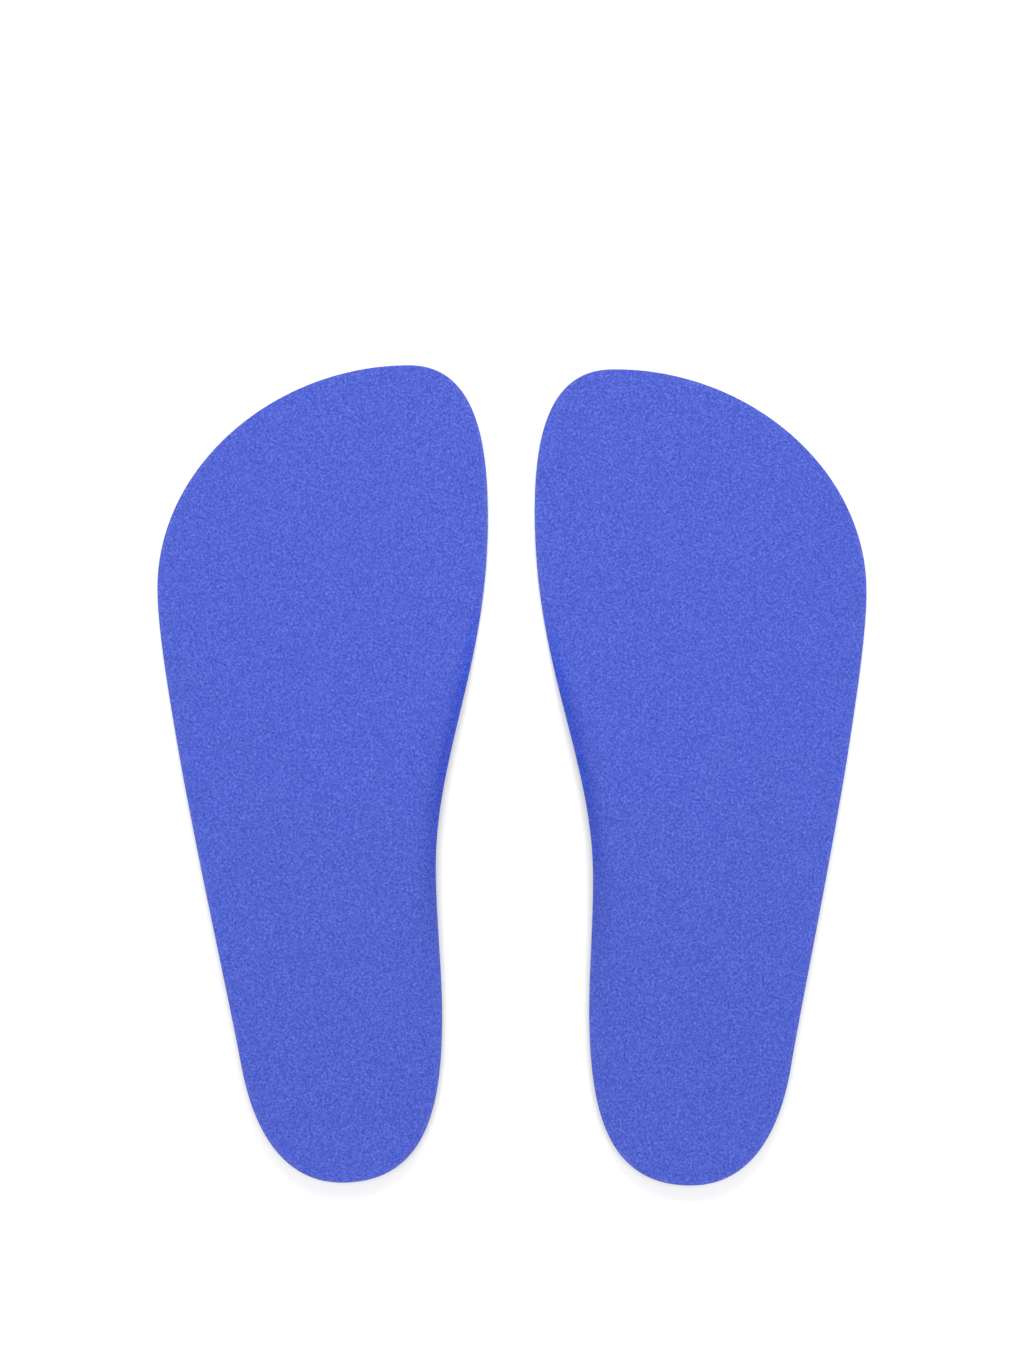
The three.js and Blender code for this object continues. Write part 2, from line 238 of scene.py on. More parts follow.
class FootbedSizes(bpy.types.PropertyGroup):
    """Layers and raised edges of the footbed."""

    cover: length("Cover", "Thickness of the top cover", 1)
    stack: length("Stack", "Cover, foam and gaps over the base shell", 3.8)
    shell_heel: length("Shell at the heel", "Thickness of the base shell under the heel", 3.4)
    shell_front: length("Shell at the front", "Thickness of the base shell's front edge", 0.7)
    bond: length("Bond line", "Gap left between two layers", 0.05)
    drop_start: length("Drop start", "Where the base shell starts to thin", 90)
    drop_end: length("Drop end", "Where the base shell has thinned", 170)
    cup_depth: length("Cup depth", "Rise of the heel cup's edge", 3.6)
    cup_reach: length("Cup reach", "Width of the heel cup's rising edge", 22)
    cup_fade_start: length("Cup fade start", "Where the heel cup starts to fade", 45)
    cup_fade_end: length("Cup fade end", "Where the heel cup has faded", 115)
    arch_rise: length("Arch rise", "Rise of the medial edge at the arch", 7.5)
    arch_reach: length("Arch reach", "Width of the arch's slope", 34)
    arch_flange: length("Arch flange", "Width of the steep strip along the arch", 8)
    arch_flange_share: share("Flange share", "Share of the rise in the steep strip", 0.5)
    arch_start: length("Arch start", "Where the arch starts to rise", 50)
    arch_full: length("Arch full", "Where the arch is at its highest", 112)
    arch_fade_start: length("Arch fade start", "Where the arch starts to fade", 142)
    arch_fade_end: length("Arch fade end", "Where the arch has faded", 172)
    # The strip of painted shade along the arch's steep edge: the nap's colour is darkened there in
    # place of the shade of the slope
    painted_shade_reach: length("Pressed strip", "Width of the pressed nap along the arch", 5.5)
    painted_shade_start: length("Pressed start", "Where the pressed nap starts", 80)
    painted_shade_full: length("Pressed full", "Where the nap is fully pressed", 142)
    painted_shade_fade_start: length("Pressed fade start", "Where the pressed nap starts to fade", 158)
    painted_shade_fade_end: length("Pressed fade end", "Where the pressed nap has faded", 190)
    outer_rise: length("Outer rise", "Rise of the lateral edge", 2)
    outer_reach: length("Outer reach", "Width of the lateral edge's rise", 16)
    hollow: length("Arch hollow", "Height of the hollow under the arch", 5)
    hollow_reach: length("Hollow reach", "Width of the hollow under the arch", 24)
    heel_draft: length("Heel draft", "How far the walls lean in at the heel", 1.6)
    toe_draft: length("Toe draft", "How far the walls lean in at the toes", 0.5)
    flex_line: length("Flex line", "Where the flex line crosses the middle", 179)
    flex_angle: degrees("Flex angle", "Slant of the flex line", 14)
    bend_behind: length("Bend behind", "Length that bends behind the flex line", 8)
    bend_ahead: length("Bend ahead", "Length that bends ahead of the flex line", 16)
    shell_behind_flex: length("Shell set back", "Base shell's front edge to the flex line", 12)


class InsetSizes(bpy.types.PropertyGroup):
    """Pieces let into the underside, and the studs moulded on it."""

    clearance: length("Clearance", "Gap round each piece let into the underside", 0.3)
    heel_pad_margin: length("Heel pad margin", "Heel pad to the outline", 13)
    heel_pad_length: length("Heel pad length", "Length of the heel pad", 50)
    support_behind_pad: length("Support set off", "Heel pad to the arch support", 5)
    support_front: length("Support front", "Front end of the arch support", 134)
    support_width: length("Support width", "Width of the arch support before it is trimmed", 54)
    support_past_edge: length("Support overhang", "Untrimmed support's side past the waist", 5)
    support_turn: degrees("Support turn", "Turn of the arch support", -8)
    support_wall_inset: length("Support trim", "Outline to the arch support's trimmed side", 4.2)
    support_top: length("Support top", "Arch support's upper face above the hollow", 1.2)
    support_plate: length("Support plate", "Thickness of the plate between its ribs", 0.7)
    support_ribs: IntProperty(name="Ribs", description="Ribs under the arch support", default=7)
    support_rib_step: length("Rib spacing", "Distance from rib to rib", 5.2)
    support_rib_radius: length("Rib radius", "Radius of a rib", 0.75)
    support_rib_sink: length("Rib sink", "How far a rib's middle lies up in the plate", 0.25)
    support_rib_margin: length("Rib margin", "Plate's untrimmed end to a rib's end", 4)
    forefoot_pad_margin: length("Forefoot pad margin", "Forefoot pad to the outline", 16)
    forefoot_pad_ahead: length("Forefoot pad set off", "Flex line to the forefoot pad", 6)
    forefoot_pad_length: length("Forefoot pad length", "Length of the forefoot pad", 38)
    field_depth: length("Field depth", "Depth of the studded fields", 0.4)
    field_margin: length("Field margin", "Plain rim round a studded field", 4.5)
    field_ramp: length("Field ramp", "Width of the slope into a studded field", 2.4)
    stud_spacing: length("Stud spacing", "Distance from stud to stud", 4.6)
    stud_radius: length("Stud radius", "Radius of a stud", 1.1)
    stud_root: length("Stud root", "How far a stud is let into the field above it", 0.1)
    dimple_depth: length("Dot depth", "Height of the dots on the pads", 0.35)
    dimple_margin: length("Dot margin", "Plain rim round a pad's dots", 2.2)
    dimple_spacing: length("Dot spacing", "Distance from dot to dot on the pads", 2.6)
    dimple_radius: length("Dot radius", "Radius of a dot on the pads", 0.65)


class NapSizes(bpy.types.PropertyGroup):
    """The raised fibres of the brushed cover."""

    fibres: IntProperty(name="Fibres", description="Raised fibres on each cover", default=24000)
    fibre_length: length("Fibre length", "Length of a raised fibre", 0.8)
    fibre_width: length("Fibre width", "Thickness of a raised fibre", 0.12)
    lay: degrees("Lay", "How flat the fibres lie", 72)
    seed: IntProperty(name="Seed", description="Seed of the fibres' places", default=7)


class Finishes(bpy.types.PropertyGroup):
    """Colours of the materials."""

    cover: colour("Cover", "Brushed microfibre", 0.0612, 0.0946, 0.474)
    foam: colour("Foam", "Soft closed-cell foam", 0.045, 0.064, 0.330)
    shell: colour("Shell", "Moulded foam of the base shell", 0.030, 0.032, 0.042)
    support: colour("Support", "Moulded arch support", 0.012, 0.017, 0.062)
    pad: colour("Pads", "Soft cushioning pads", 0.205, 0.270, 0.720)
    floor: colour("Floor", "Seamless floor", 0.95, 0.95, 0.95)


class StageSizes(bpy.types.PropertyGroup):
    """The camera, the floor and the lights."""

    camera_height: length("Camera height", "Camera above the floor", 1600)
    view_height: length("View height", "Height of the view at the covers", 449.4)
    view_ahead: length("View ahead", "View's middle ahead of the pair's middle", 30.3)
    floor_size: length("Floor size", "Side of the floor", 6000)
    key_strength: FloatProperty(name="Key", description="Strength of the main light", default=2.0)
    key_spread: degrees("Key spread", "How soft the main light's shadows are", 24)
    fill_height: length("Fill height", "Toe-side light above the floor", 700)
    fill_size: length("Fill size", "Side of the toe-side light", 500)
    fill_ahead: length("Fill set off", "Toe-side light ahead of the pair's middle", 500)
    fill_power: FloatProperty(
        name="Fill power", description="Power of the toe-side light", default=3.1, unit="POWER"
    )
    sky: FloatProperty(name="Sky", description="Strength of the even light all round", default=0.43)


# ---------------------------------------------------------------- shape of the footbed


def smoothstep(value, low, high):
    """0 below low, 1 above high and a smooth curve between."""
    along = np.clip((value - low) / (high - low), 0, 1)
    return along * along * (3 - 2 * along)


def bowl(distance, reach):
    """1 at an edge, falling in a smooth curve to 0 at the given reach from it."""
    return np.clip(1 - distance / reach, 0, None) ** 2


def stretch(start, leaving, end, arriving, fullness):
    """One stretch of outline as places along a cubic curve."""
    run = end - start

    def handle(direction):
        """The longest handle in a direction, which goes as far as the stretch does."""
        across = int(abs(direction[1]) >= abs(direction[0]))
        return direction * abs(run[across] / direction[across])

    leave = start + handle(leaving) * fullness[0]
    arrive = end - handle(arriving) * fullness[1]
    along = np.linspace(0, 1, STRETCH_STEPS)[:, None]
    left = 1 - along
    return (
        left**3 * start
        + 3 * left**2 * along * leave
        + 3 * left * along**2 * arrive
        + along**3 * end
    )


def chained(stretches):
    """Stretches of outline as one run of places, without the shared ends twice."""
    return np.concatenate([stretches[0]] + [part[1:] for part in stretches[1:]])


def distance_to(chain, places):
    """Distance from each place to the nearest point of a chain."""
    start = chain[:-1]
    run = np.diff(chain, axis=0)
    squared = (run * run).sum(-1)
    nearest = np.empty(len(places))
    for first in range(0, len(places), DISTANCE_BATCH):
        batch = slice(first, first + DISTANCE_BATCH)
        offset = places[batch, None, :] - start
        along = np.clip((offset * run).sum(-1) / squared, 0, 1)
        offset -= along[..., None] * run
        nearest[batch] = np.sqrt((offset * offset).sum(-1).min(1))
    return nearest


class Footbed:
    """The outline and the heights of a left insole, worked out from the scene's sizes."""

    def __init__(self, scene):
        self.outline = scene.insole_outline
        self.bed = scene.insole_footbed
        self.inset = scene.insole_insets
        self.medial, self.lateral = self.edges()
        self.medial_chain = self.medial[::CHAIN_STEP]
        self.lateral_chain = self.lateral[::CHAIN_STEP]
        self.loop = np.concatenate([self.medial, self.lateral[-2:0:-1]])

    def edges(self):
        """The medial and the lateral edge, each from the back of the heel to the toe tip."""
        sizes = self.outline
        heel_end = np.array([sizes.heel_end, 0.0])
        toe_tip = np.array([sizes.toe_tip, sizes.length])
        heel_in = np.array(sizes.heel_medial)
        waist = np.array(sizes.waist_medial)
        ball_in = np.array(sizes.ball_medial)
        ball_out = np.array(sizes.ball_lateral)
        heel_out = np.array(sizes.heel_lateral)
        forward = np.array([0.0, 1.0])
        inward = np.array([1.0, 0.0])
        leaning = np.array([-math.sin(sizes.heel_lean), math.cos(sizes.heel_lean)])
        medial = [
            stretch(heel_end, inward, heel_in, forward, FULLNESS["heel_inner"]),
            stretch(heel_in, forward, waist, forward, FULLNESS["heel_to_waist"]),
            stretch(waist, forward, ball_in, forward, FULLNESS["waist_to_ball"]),
            stretch(ball_in, forward, toe_tip, -inward, FULLNESS["big_toe"]),
        ]
        lateral = [
            stretch(heel_end, -inward, heel_out, leaning, FULLNESS["heel_outer"]),
            stretch(heel_out, leaning, ball_out, forward, FULLNESS["outer_side"]),
            stretch(ball_out, forward, toe_tip, inward, FULLNESS["small_toes"]),
        ]
        return chained(medial), chained(lateral)

    def flexwise(self, places):
        """Where the line through each place, parallel to the flex line, meets x = 0."""
        return places[:, 1] - places[:, 0] * math.tan(self.bed.flex_angle)

    def arch_window(self, places):
        """1 where the arch and the outer edge are raised, 0 at the heel end and at the ball."""
        bed = self.bed
        fade = 1 - smoothstep(self.flexwise(places), bed.arch_fade_start, bed.arch_fade_end)
        return smoothstep(places[:, 1], bed.arch_start, bed.arch_full) * fade

    def top(self, places):
        """Height of the cover's upper face."""
        bed = self.bed
        to_medial = distance_to(self.medial_chain, places)
        to_lateral = distance_to(self.lateral_chain, places)
        drop = smoothstep(self.flexwise(places), bed.drop_start, bed.drop_end)
        level = bed.stack + bed.shell_heel + (bed.shell_front - bed.shell_heel) * drop
        cup_fade = 1 - smoothstep(places[:, 1], bed.cup_fade_start, bed.cup_fade_end)
        cup = bed.cup_depth * bowl(np.minimum(to_medial, to_lateral), bed.cup_reach) * cup_fade
        slope = (1 - bed.arch_flange_share) * bowl(to_medial, bed.arch_reach)
        flange = bed.arch_flange_share * bowl(to_medial, bed.arch_flange)
        outer = bed.outer_rise * bowl(to_lateral, bed.outer_reach)
        rise = bed.arch_rise * (slope + flange) + outer
        return level + cup + rise * self.arch_window(places)

    def underside(self, places):
        """Height of the hollow under the arch, 0 elsewhere."""
        to_medial = distance_to(self.medial_chain, places)
        hollow = self.bed.hollow * bowl(to_medial, self.bed.hollow_reach)
        return hollow * self.arch_window(places)

    def painted_arch_shade(self, places):
        """1 along the arch's edge, where shade is painted into the nap's colour, 0 beyond a narrow
        strip.
        """
        bed = self.bed
        to_medial = distance_to(self.medial_chain, places)
        strip = 1 - smoothstep(to_medial, 0, bed.painted_shade_reach)
        fade = 1 - smoothstep(self.flexwise(places), bed.painted_shade_fade_start, bed.painted_shade_fade_end)
        return strip * smoothstep(places[:, 1], bed.painted_shade_start, bed.painted_shade_full) * fade

    def foam_top(self, places):
        """Height of the foam's upper face."""
        return self.top(places) - self.bed.cover - self.bed.bond

    def shell_top(self, places):
        """Height of the base shell's upper face."""
        return self.top(places) - self.bed.stack + self.bed.bond

    def shell_front(self):
        """Where the base shell's front edge meets x = 0."""
        return self.bed.flex_line - self.bed.shell_behind_flex

    def hinge(self):
        """The middle of the flex line."""
        x = (self.outline.ball_medial[0] + self.outline.ball_lateral[0]) / 2
        return np.array([x, self.bed.flex_line + x * math.tan(self.bed.flex_angle)])

    def area(self):
        """Area inside the outline, in square metres."""
        x, y = self.loop.T
        return abs(np.dot(x, np.roll(y, -1)) - np.dot(y, np.roll(x, -1))) / 2

    # ------------------------------------------------ pieces let into the underside

    def heel_pad_oval(self):
        """The heel pad's oval, in the middle of the heel."""
        outline, sizes = self.outline, self.inset
        half_width = (outline.heel_medial[0] - outline.heel_lateral[0]) / 2 - sizes.heel_pad_margin
        x = (outline.heel_medial[0] + outline.heel_lateral[0]) / 2
        y = sizes.heel_pad_margin + sizes.heel_pad_length / 2
        return Oval((x, y), half_width, sizes.heel_pad_length / 2, 0)

    def support_oval(self, wall_inset=None):
        """The arch support's oval, trimmed along the medial wall where an inset is given."""
        sizes = self.inset
        rear = sizes.heel_pad_margin + sizes.heel_pad_length + sizes.support_behind_pad
        half_width = sizes.support_width / 2
        x = self.outline.waist_medial[0] + sizes.support_past_edge - half_width
        half_length = (sizes.support_front - rear) / 2
        middle = (x, rear + half_length)
        oval = (middle, half_width, half_length, sizes.support_turn)
        if wall_inset is None:
            return Oval(*oval)
        return TrimmedOval(*oval, self.medial_chain, wall_inset)

    def forefoot_pad_oval(self):
        """The forefoot pad's oval, along the flex line and ahead of it."""
        sizes, angle = self.inset, self.bed.flex_angle
        half_width = (self.outline.ball_medial[0] - self.outline.ball_lateral[0]) / 2
        half_length = sizes.forefoot_pad_length / 2
        ahead = np.array([-math.sin(angle), math.cos(angle)])
        middle = self.hinge() + ahead * (sizes.forefoot_pad_ahead + half_length)
        return Oval(middle, half_width - sizes.forefoot_pad_margin, half_length, angle)

    def field(self, places):
        """1 in the studded fields of the underside, 0 on the plain rims round them. The rim
        beside a piece let in is half as wide as the one along the outline."""
        sizes = self.inset
        reach = (sizes.field_margin, sizes.field_margin + sizes.field_ramp)
        beside_inset = (reach[0] / 2, reach[1] / 2 + MM)
        outer = np.minimum(
            distance_to(self.medial_chain, places), distance_to(self.lateral_chain, places)
        )
        inside = smoothstep(outer, *reach)
        for oval in (self.heel_pad_oval(), self.support_oval(), self.forefoot_pad_oval()):
            inside = inside * smoothstep(oval.outside(places), *beside_inset)
        to_front = np.abs(self.flexwise(places) - self.shell_front())
        return inside * smoothstep(to_front, *reach)

    def sole(self, places):
        """Height of the underside with its studded fields."""
        return self.underside(places) + self.inset.field_depth * self.field(places)


class Oval:
    """An oval outline: its middle, half sizes and turn."""

    def __init__(self, middle, half_width, half_length, turn):
        self.middle = np.array(middle)
        self.half = np.array([half_width, half_length])
        self.axes = np.array([[math.cos(turn), math.sin(turn)], [-math.sin(turn), math.cos(turn)]])

    def outside(self, places):
        """Roughly how far each place lies outside the oval, negative within it."""
        local = (places - self.middle) @ self.axes.T
        ratio = np.sqrt(((local / self.half) ** 2).sum(-1))
        return (ratio - 1) * self.half.min()

    def rim(self, inset):
        """Places round the oval, moved in by the inset."""
        angle = np.linspace(0, 2 * math.pi, OVAL_STEPS, endpoint=False)
        local = np.stack([np.cos(angle), np.sin(angle)], 1) * (self.half - inset)
        return self.middle + local @ self.axes


class TrimmedOval(Oval):
    """An oval trimmed along a chain of places, at a distance to the lateral side of it."""

    def __init__(self, middle, half_width, half_length, turn, chain, wall_inset):
        super().__init__(middle, half_width, half_length, turn)
        self.chain = chain
        self.wall_inset = wall_inset

    def rim(self, inset):
        """Places round the trimmed oval, moved in by the inset."""
        outer = super().rim(inset)
        spoke = outer - self.middle
        low = np.zeros(len(outer))
        high = np.ones(len(outer))
        for _ in range(TRIM_HALVINGS):
            half_way = (low + high) / 2
            places = self.middle + spoke * half_way[:, None]
            clear = distance_to(self.chain, places) >= self.wall_inset + inset
            beyond = places[:, 0] > np.interp(places[:, 1], self.chain[:, 1], self.chain[:, 0])
            low = np.where(clear & ~beyond, half_way, low)
            high = np.where(clear & ~beyond, high, half_way)
        return self.middle + spoke * low[:, None]


class Ladder:
    """Rows of places across the insole, parallel to the flex line, from the heel to the toes."""

    def __init__(self, footbed):
        self.footbed = footbed
        loop = footbed.loop
        across = footbed.flexwise(loop)
        tangent = np.roll(loop, -1, 0) - np.roll(loop, 1, 0)
        tangent /= np.linalg.norm(tangent, axis=1)[:, None]
        inwards = np.stack([-tangent[:, 1], tangent[:, 0]], 1)
        count = len(loop)
        heel, toe = int(np.argmin(across)), int(np.argmax(across))
        medial = np.arange(heel, toe + 1)
        lateral = np.arange(heel + count, toe - 1, -1) % count
        self.flexwise = self.rung_lines(loop, across, medial, lateral)
        known = np.concatenate([loop, inwards], 1)
        self.sides = []
        for run in (lateral, medial):
            columns = [np.interp(self.flexwise, across[run], values) for values in known[run].T]
            self.sides.append(np.array(columns).T)

    def rung_lines(self, loop, across, medial, lateral):
        """Rows evenly spaced along the outline, with one on each side of the shell's front edge."""
        lines = np.unique(across)
        travelled = np.zeros(len(lines))
        for run in (medial, lateral):
            steps = np.linalg.norm(np.diff(loop[run], axis=0), axis=1)
            along = np.concatenate([[0], np.cumsum(steps)])
            travelled += np.interp(lines, across[run], along / along[-1]) / 2
        even = np.interp(np.linspace(0, 1, RUNGS), travelled, lines)
        front = self.footbed.shell_front()
        apart = np.abs(even - front) > RUNG_CLEARANCE
        special = [front, front + self.footbed.bed.bond]
        return np.sort(np.concatenate([even[apart], special]))

    def rows_to(self, line):
        """How many rows lie up to a line parallel to the flex line."""
        return int(np.searchsorted(self.flexwise, line, side="right"))

    def ends(self, inset, lean, rows):
        """The lateral and the medial end of each row, moved in from the outline."""
        bed = self.footbed.bed
        moved = []
        for side in self.sides:
            places, inwards = side[:rows, :2], side[:rows, 2:]
            fade = smoothstep(places[:, 1], bed.arch_fade_start, bed.arch_fade_end)
            draft = bed.heel_draft + (bed.toe_draft - bed.heel_draft) * fade
            by = inset + lean * draft
            moved.append(places + inwards / np.linalg.norm(inwards, axis=1)[:, None] * by[:, None])
        return moved

    def grid(self, inset, lean, rows):
        """All the places of the rows, as an array of rows by columns."""
        lateral, medial = self.ends(inset, lean, rows)
        return lateral[:, None, :] + (medial - lateral)[:, None, :] * COLUMN_SHARES[:, None]

    def from_edge(self, grid):
        """Roughly how far each place of a grid lies from the edge of its layer."""
        width = np.linalg.norm(grid[:, -1] - grid[:, 0], axis=1)
        to_side = np.minimum(COLUMN_SHARES, 1 - COLUMN_SHARES) * width[:, None]
        to_heel = self.flexwise - self.flexwise[0]
        to_toes = self.flexwise[-1] - self.flexwise
        to_pole = np.minimum(to_heel, to_toes)[: len(grid)]
        return np.minimum(to_side, to_pole[:, None]).reshape(-1)


# ---------------------------------------------------------------- meshes


def rim_of(numbers, toe_is_point):
    """The entries round a grid, anticlockwise from the heel, seen from above."""
    medial = list(numbers[:, -1])
    front = [] if toe_is_point else list(numbers[-1, -2:0:-1])
    lateral = list(numbers[1:-1, 0][::-1]) if toe_is_point else list(numbers[1:, 0][::-1])
    return medial + front + lateral


def grid_faces(numbers, upward):
    """Faces over a grid of point numbers; repeated numbers at a pole give triangles."""
    faces = []
    for near, far in zip(numbers[:-1], numbers[1:]):
        for j in range(len(near) - 1):
            around = list(dict.fromkeys((near[j], near[j + 1], far[j + 1], far[j])))
            if len(around) > 2:
                faces.append(around if upward else around[::-1])
    return faces


def shifted(loop):
    """A loop of point numbers, started one point later."""
    return loop[1:] + loop[:1]


def wall_faces(upper, lower):
    """Faces between two loops of point numbers that run anticlockwise, seen from above."""
    return [list(four) for four in zip(lower, shifted(lower), shifted(upper), upper)]


class Shape:
    """Points, faces and an edge mask gathered for one mesh."""

    def __init__(self):
        self.points = []
        self.edge = []
        self.faces = []
        self.count = 0

    def add(self, places, heights, edge):
        """Adds points and gives back their numbers."""
        self.points.append(np.concatenate([places, heights[:, None]], 1))
        self.edge.append(np.broadcast_to(edge, len(places)))
        self.count += len(places)
        return np.arange(self.count - len(places), self.count)

    def add_walls(self, loops):
        """Adds the faces between loops of point numbers that follow each other downwards."""
        for upper, lower in zip(loops[:-1], loops[1:]):
            self.faces += wall_faces(upper, lower)

    def mesh(self, name, material):
        """A mesh of the gathered points, with the ones that no face uses left out."""
        points = np.concatenate(self.points)
        edge = np.concatenate(self.edge)
        used = np.unique(np.concatenate([np.array(face) for face in self.faces]))
        renumber = np.zeros(len(points), int)
        renumber[used] = np.arange(len(used))
        faces = [[int(renumber[corner]) for corner in face] for face in self.faces]
        mesh = bpy.data.meshes.new(name)
        mesh.from_pydata(points[used].tolist(), [], faces)
        add_mask(mesh, "edge", edge[used])
        mesh.materials.append(material)
        smooth(mesh, LAYER_SHARP)
        return mesh


def add_mask(mesh, name, values):
    """Stores a value between 0 and 1 at each point, for the materials and the node trees."""
    mask = mesh.attributes.new(name, "FLOAT", "POINT")
    mask.data.foreach_set("value", values.astype(np.float32))


def smooth(mesh, angle):
    """Smooth shading, with edges sharper than an angle in degrees kept sharp."""
    mesh.shade_smooth()
    mesh.set_sharp_from_angle(angle=math.radians(angle))


def layer(ladder, levels, rows=None):
    """A closed layer. Each level is an inset, a lean, a height function and an edge mask; the
    first and the last level are whole faces, and the ones between are loops round the wall."""
    total = len(ladder.flexwise)
    rows = rows or total
    pointed = rows == total
    shape = Shape()
    loops = []
    for position, (inset, lean, height, edge) in enumerate(levels):
        grid = ladder.grid(inset, lean, rows)
        places = grid.reshape(-1, 2)
        if 0 < position < len(levels) - 1:
            numbers = np.arange(len(places)).reshape(grid.shape[:2])
            rim = places[rim_of(numbers, pointed)]
            loops.append(list(shape.add(rim, height(rim), edge)))
            continue
        mask = edge * np.exp(-ladder.from_edge(grid) / RUB_SPREAD)
        numbers = shape.add(places, height(places), mask).reshape(grid.shape[:2])
        numbers[0, :] = numbers[0, 0]
        if pointed:
            numbers[-1, :] = numbers[-1, 0]
        shape.faces += grid_faces(numbers, position == 0)
        loops.append(rim_of(numbers, pointed))
    shape.add_walls(loops)
    return shape


def disc_face(shape, oval, rim, height, edge, upward):
    """Adds a whole face of a disc as rings round its middle, and gives back its rim's numbers."""
    rings = []
    for ring in range(1, OVAL_RINGS + 1):
        reach = math.sin(math.pi / 2 * ring / OVAL_RINGS)
        places = oval.middle + (rim - oval.middle) * reach
        mask = edge if ring == OVAL_RINGS else 0.0
        rings.append(list(shape.add(places, height(places), mask)))
    middle = oval.middle[None, :]
    centre = int(shape.add(middle, height(middle), 0.0)[0])
    faces = [[centre, here, there] for here, there in zip(rings[0], shifted(rings[0]))]
    for inner, outer in zip(rings[:-1], rings[1:]):
        faces += wall_faces(inner, outer)
    shape.faces += faces if upward else [face[::-1] for face in faces]
    return rings[-1]


def disc(oval, levels):
    """A closed disc inside an oval. Each level is an inset, a height function and an edge mask;
    the first and the last level are whole faces, and the ones between are loops round the wall."""
    shape = Shape()
    loops = []
    for position, (inset, height, edge) in enumerate(levels):
        rim = oval.rim(inset)
        if 0 < position < len(levels) - 1:
            loops.append(list(shape.add(rim, height(rim), edge)))
        else:
            loops.append(disc_face(shape, oval, rim, height, edge, position == 0))
    shape.add_walls(loops)
    return shape


def rounded(radius, downward):
    """Steps round a quarter circle: how far in and how far along at each step."""
    steps = []
    for step in range(ROUND_STEPS + 1):
        angle = math.pi / 2 * step / ROUND_STEPS
        steps.append((radius * (1 - math.sin(angle)), radius * (1 - math.cos(angle))))
    return steps if downward else steps[::-1]


def raised(height, by):
    """A height function moved up or down."""
    return lambda places: height(places) + by


def between(over, under, down):
    """A height function that lies a share of the way down from one to another."""
    return lambda places: over(places) * (1 - down) + under(places) * down


def flat(height):
    """A height function that is the same everywhere."""
    return lambda places: np.full(len(places), height)


def linked(name, data):
    """A new object in the scene."""
    obj = bpy.data.objects.new(name, data)
    bpy.context.scene.collection.objects.link(obj)
    return obj


def plain_mesh(obj):
    """The object's shape with its modifiers worked in, as a mesh of its own."""
    bpy.context.view_layer.update()
    graph = bpy.context.evaluated_depsgraph_get()
    return bpy.data.meshes.new_from_object(obj.evaluated_get(graph))


def cut(mesh, cutters):
    """The mesh with the cutters' volumes taken away."""
    material = mesh.materials[0]
    body = linked("cut_body", mesh)
    knives = []
    for number, cutter in enumerate(cutters):
        knife = linked(f"cut_knife_{number}", cutter)
        step = body.modifiers.new(f"cut_{number}", "BOOLEAN")
        step.operation = "DIFFERENCE"
        step.solver = "EXACT"
        step.object = knife
        knives.append(knife)
    result = plain_mesh(body)
    for used in (body, *knives):
        bpy.data.objects.remove(used)
    result.materials.clear()
    result.materials.append(material)
    result.polygons.foreach_set("material_index", np.zeros(len(result.polygons), np.int32))
    smooth(result, LAYER_SHARP)
    return result


def side_matrix(footbed, side):
    """The matrix that puts a left insole's shape in its place on one side of the pair."""
    joint = JOINTS[f"{side}_toe_flex"]
    mirror = 1 if side == "left" else -1
    axis_angle = math.atan2(joint["axis"][1], joint["axis"][0])
    turn = axis_angle - mirror * footbed.bed.flex_angle
    hinge = footbed.hinge()
    to_hinge = Matrix.Translation((-hinge[0], -hinge[1], 0))
    to_place = Matrix.Translation((joint["pos_m"][0], joint["pos_m"][1], 0))
    return to_place @ Matrix.Rotation(turn, 4, "Z") @ Matrix.Diagonal((mirror, 1, 1, 1)) @ to_hinge


def place(footbed, mesh, side, name):
    """A copy of a left insole's mesh as a piece of one side of the pair."""
    copy = mesh.copy()
    copy.transform(side_matrix(footbed, side))
    if side == "right":
        copy.flip_normals()
    piece = linked(f"{side}_{name}", copy)
    return piece


def bend(piece):
    """Works a piece's placement into its mesh."""
    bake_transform(piece)


# ---------------------------------------------------------------- node trees


def wired(tree, kind, inputs=None, **settings):
    """Adds a node, with its inputs given by name or number as values or as sockets to link, and
    hands back its outputs."""
    node = tree.nodes.new(kind)
    for key, value in settings.items():
        setattr(node, key, value)
    for key, value in (inputs or {}).items():
        if isinstance(value, bpy.types.NodeSocket):
            tree.links.new(value, node.inputs[key])
        else:
            node.inputs[key].default_value = value
    return node.outputs


def calculated(tree, operation, first, second=0.0, third=0.0):
    """A Math node's result."""
    inputs = {0: first, 1: second, 2: third}
    return wired(tree, "ShaderNodeMath", inputs, operation=operation)[0]


def combined(tree, operation, first, second):
    """A Vector Math node's result."""
    return wired(tree, "ShaderNodeVectorMath", {0: first, 1: second}, operation=operation)[0]


def vector(tree, x=0.0, y=0.0, z=0.0):
    """Three numbers as a vector."""
    return wired(tree, "ShaderNodeCombineXYZ", {0: x, 1: y, 2: z})[0]


def new_tree(name, kind, inputs, outputs):
    """A node tree with named inputs and outputs, and the sockets of its inputs by name."""
    tree = bpy.data.node_groups.new(name, kind)
    for label, socket_type, value in inputs:
        socket = tree.interface.new_socket(label, in_out="INPUT", socket_type=socket_type)
        if value is not None:
            socket.default_value = value
    for label, socket_type in outputs:
        tree.interface.new_socket(label, in_out="OUTPUT", socket_type=socket_type)
    return tree, tree.nodes.new("NodeGroupInput").outputs


def geometry_tree(name, sizes):
    """A Geometry Nodes tree: a geometry, named sizes and a material in, and a geometry out."""
    inputs = [("Geometry", "NodeSocketGeometry", None)]
    inputs += [(label, SOCKETS[type(value)], value) for label, value in sizes.items()]
    inputs.append(("Material", "NodeSocketMaterial", None))
    return new_tree(name, "GeometryNodeTree", inputs, [("Geometry", "NodeSocketGeometry")])


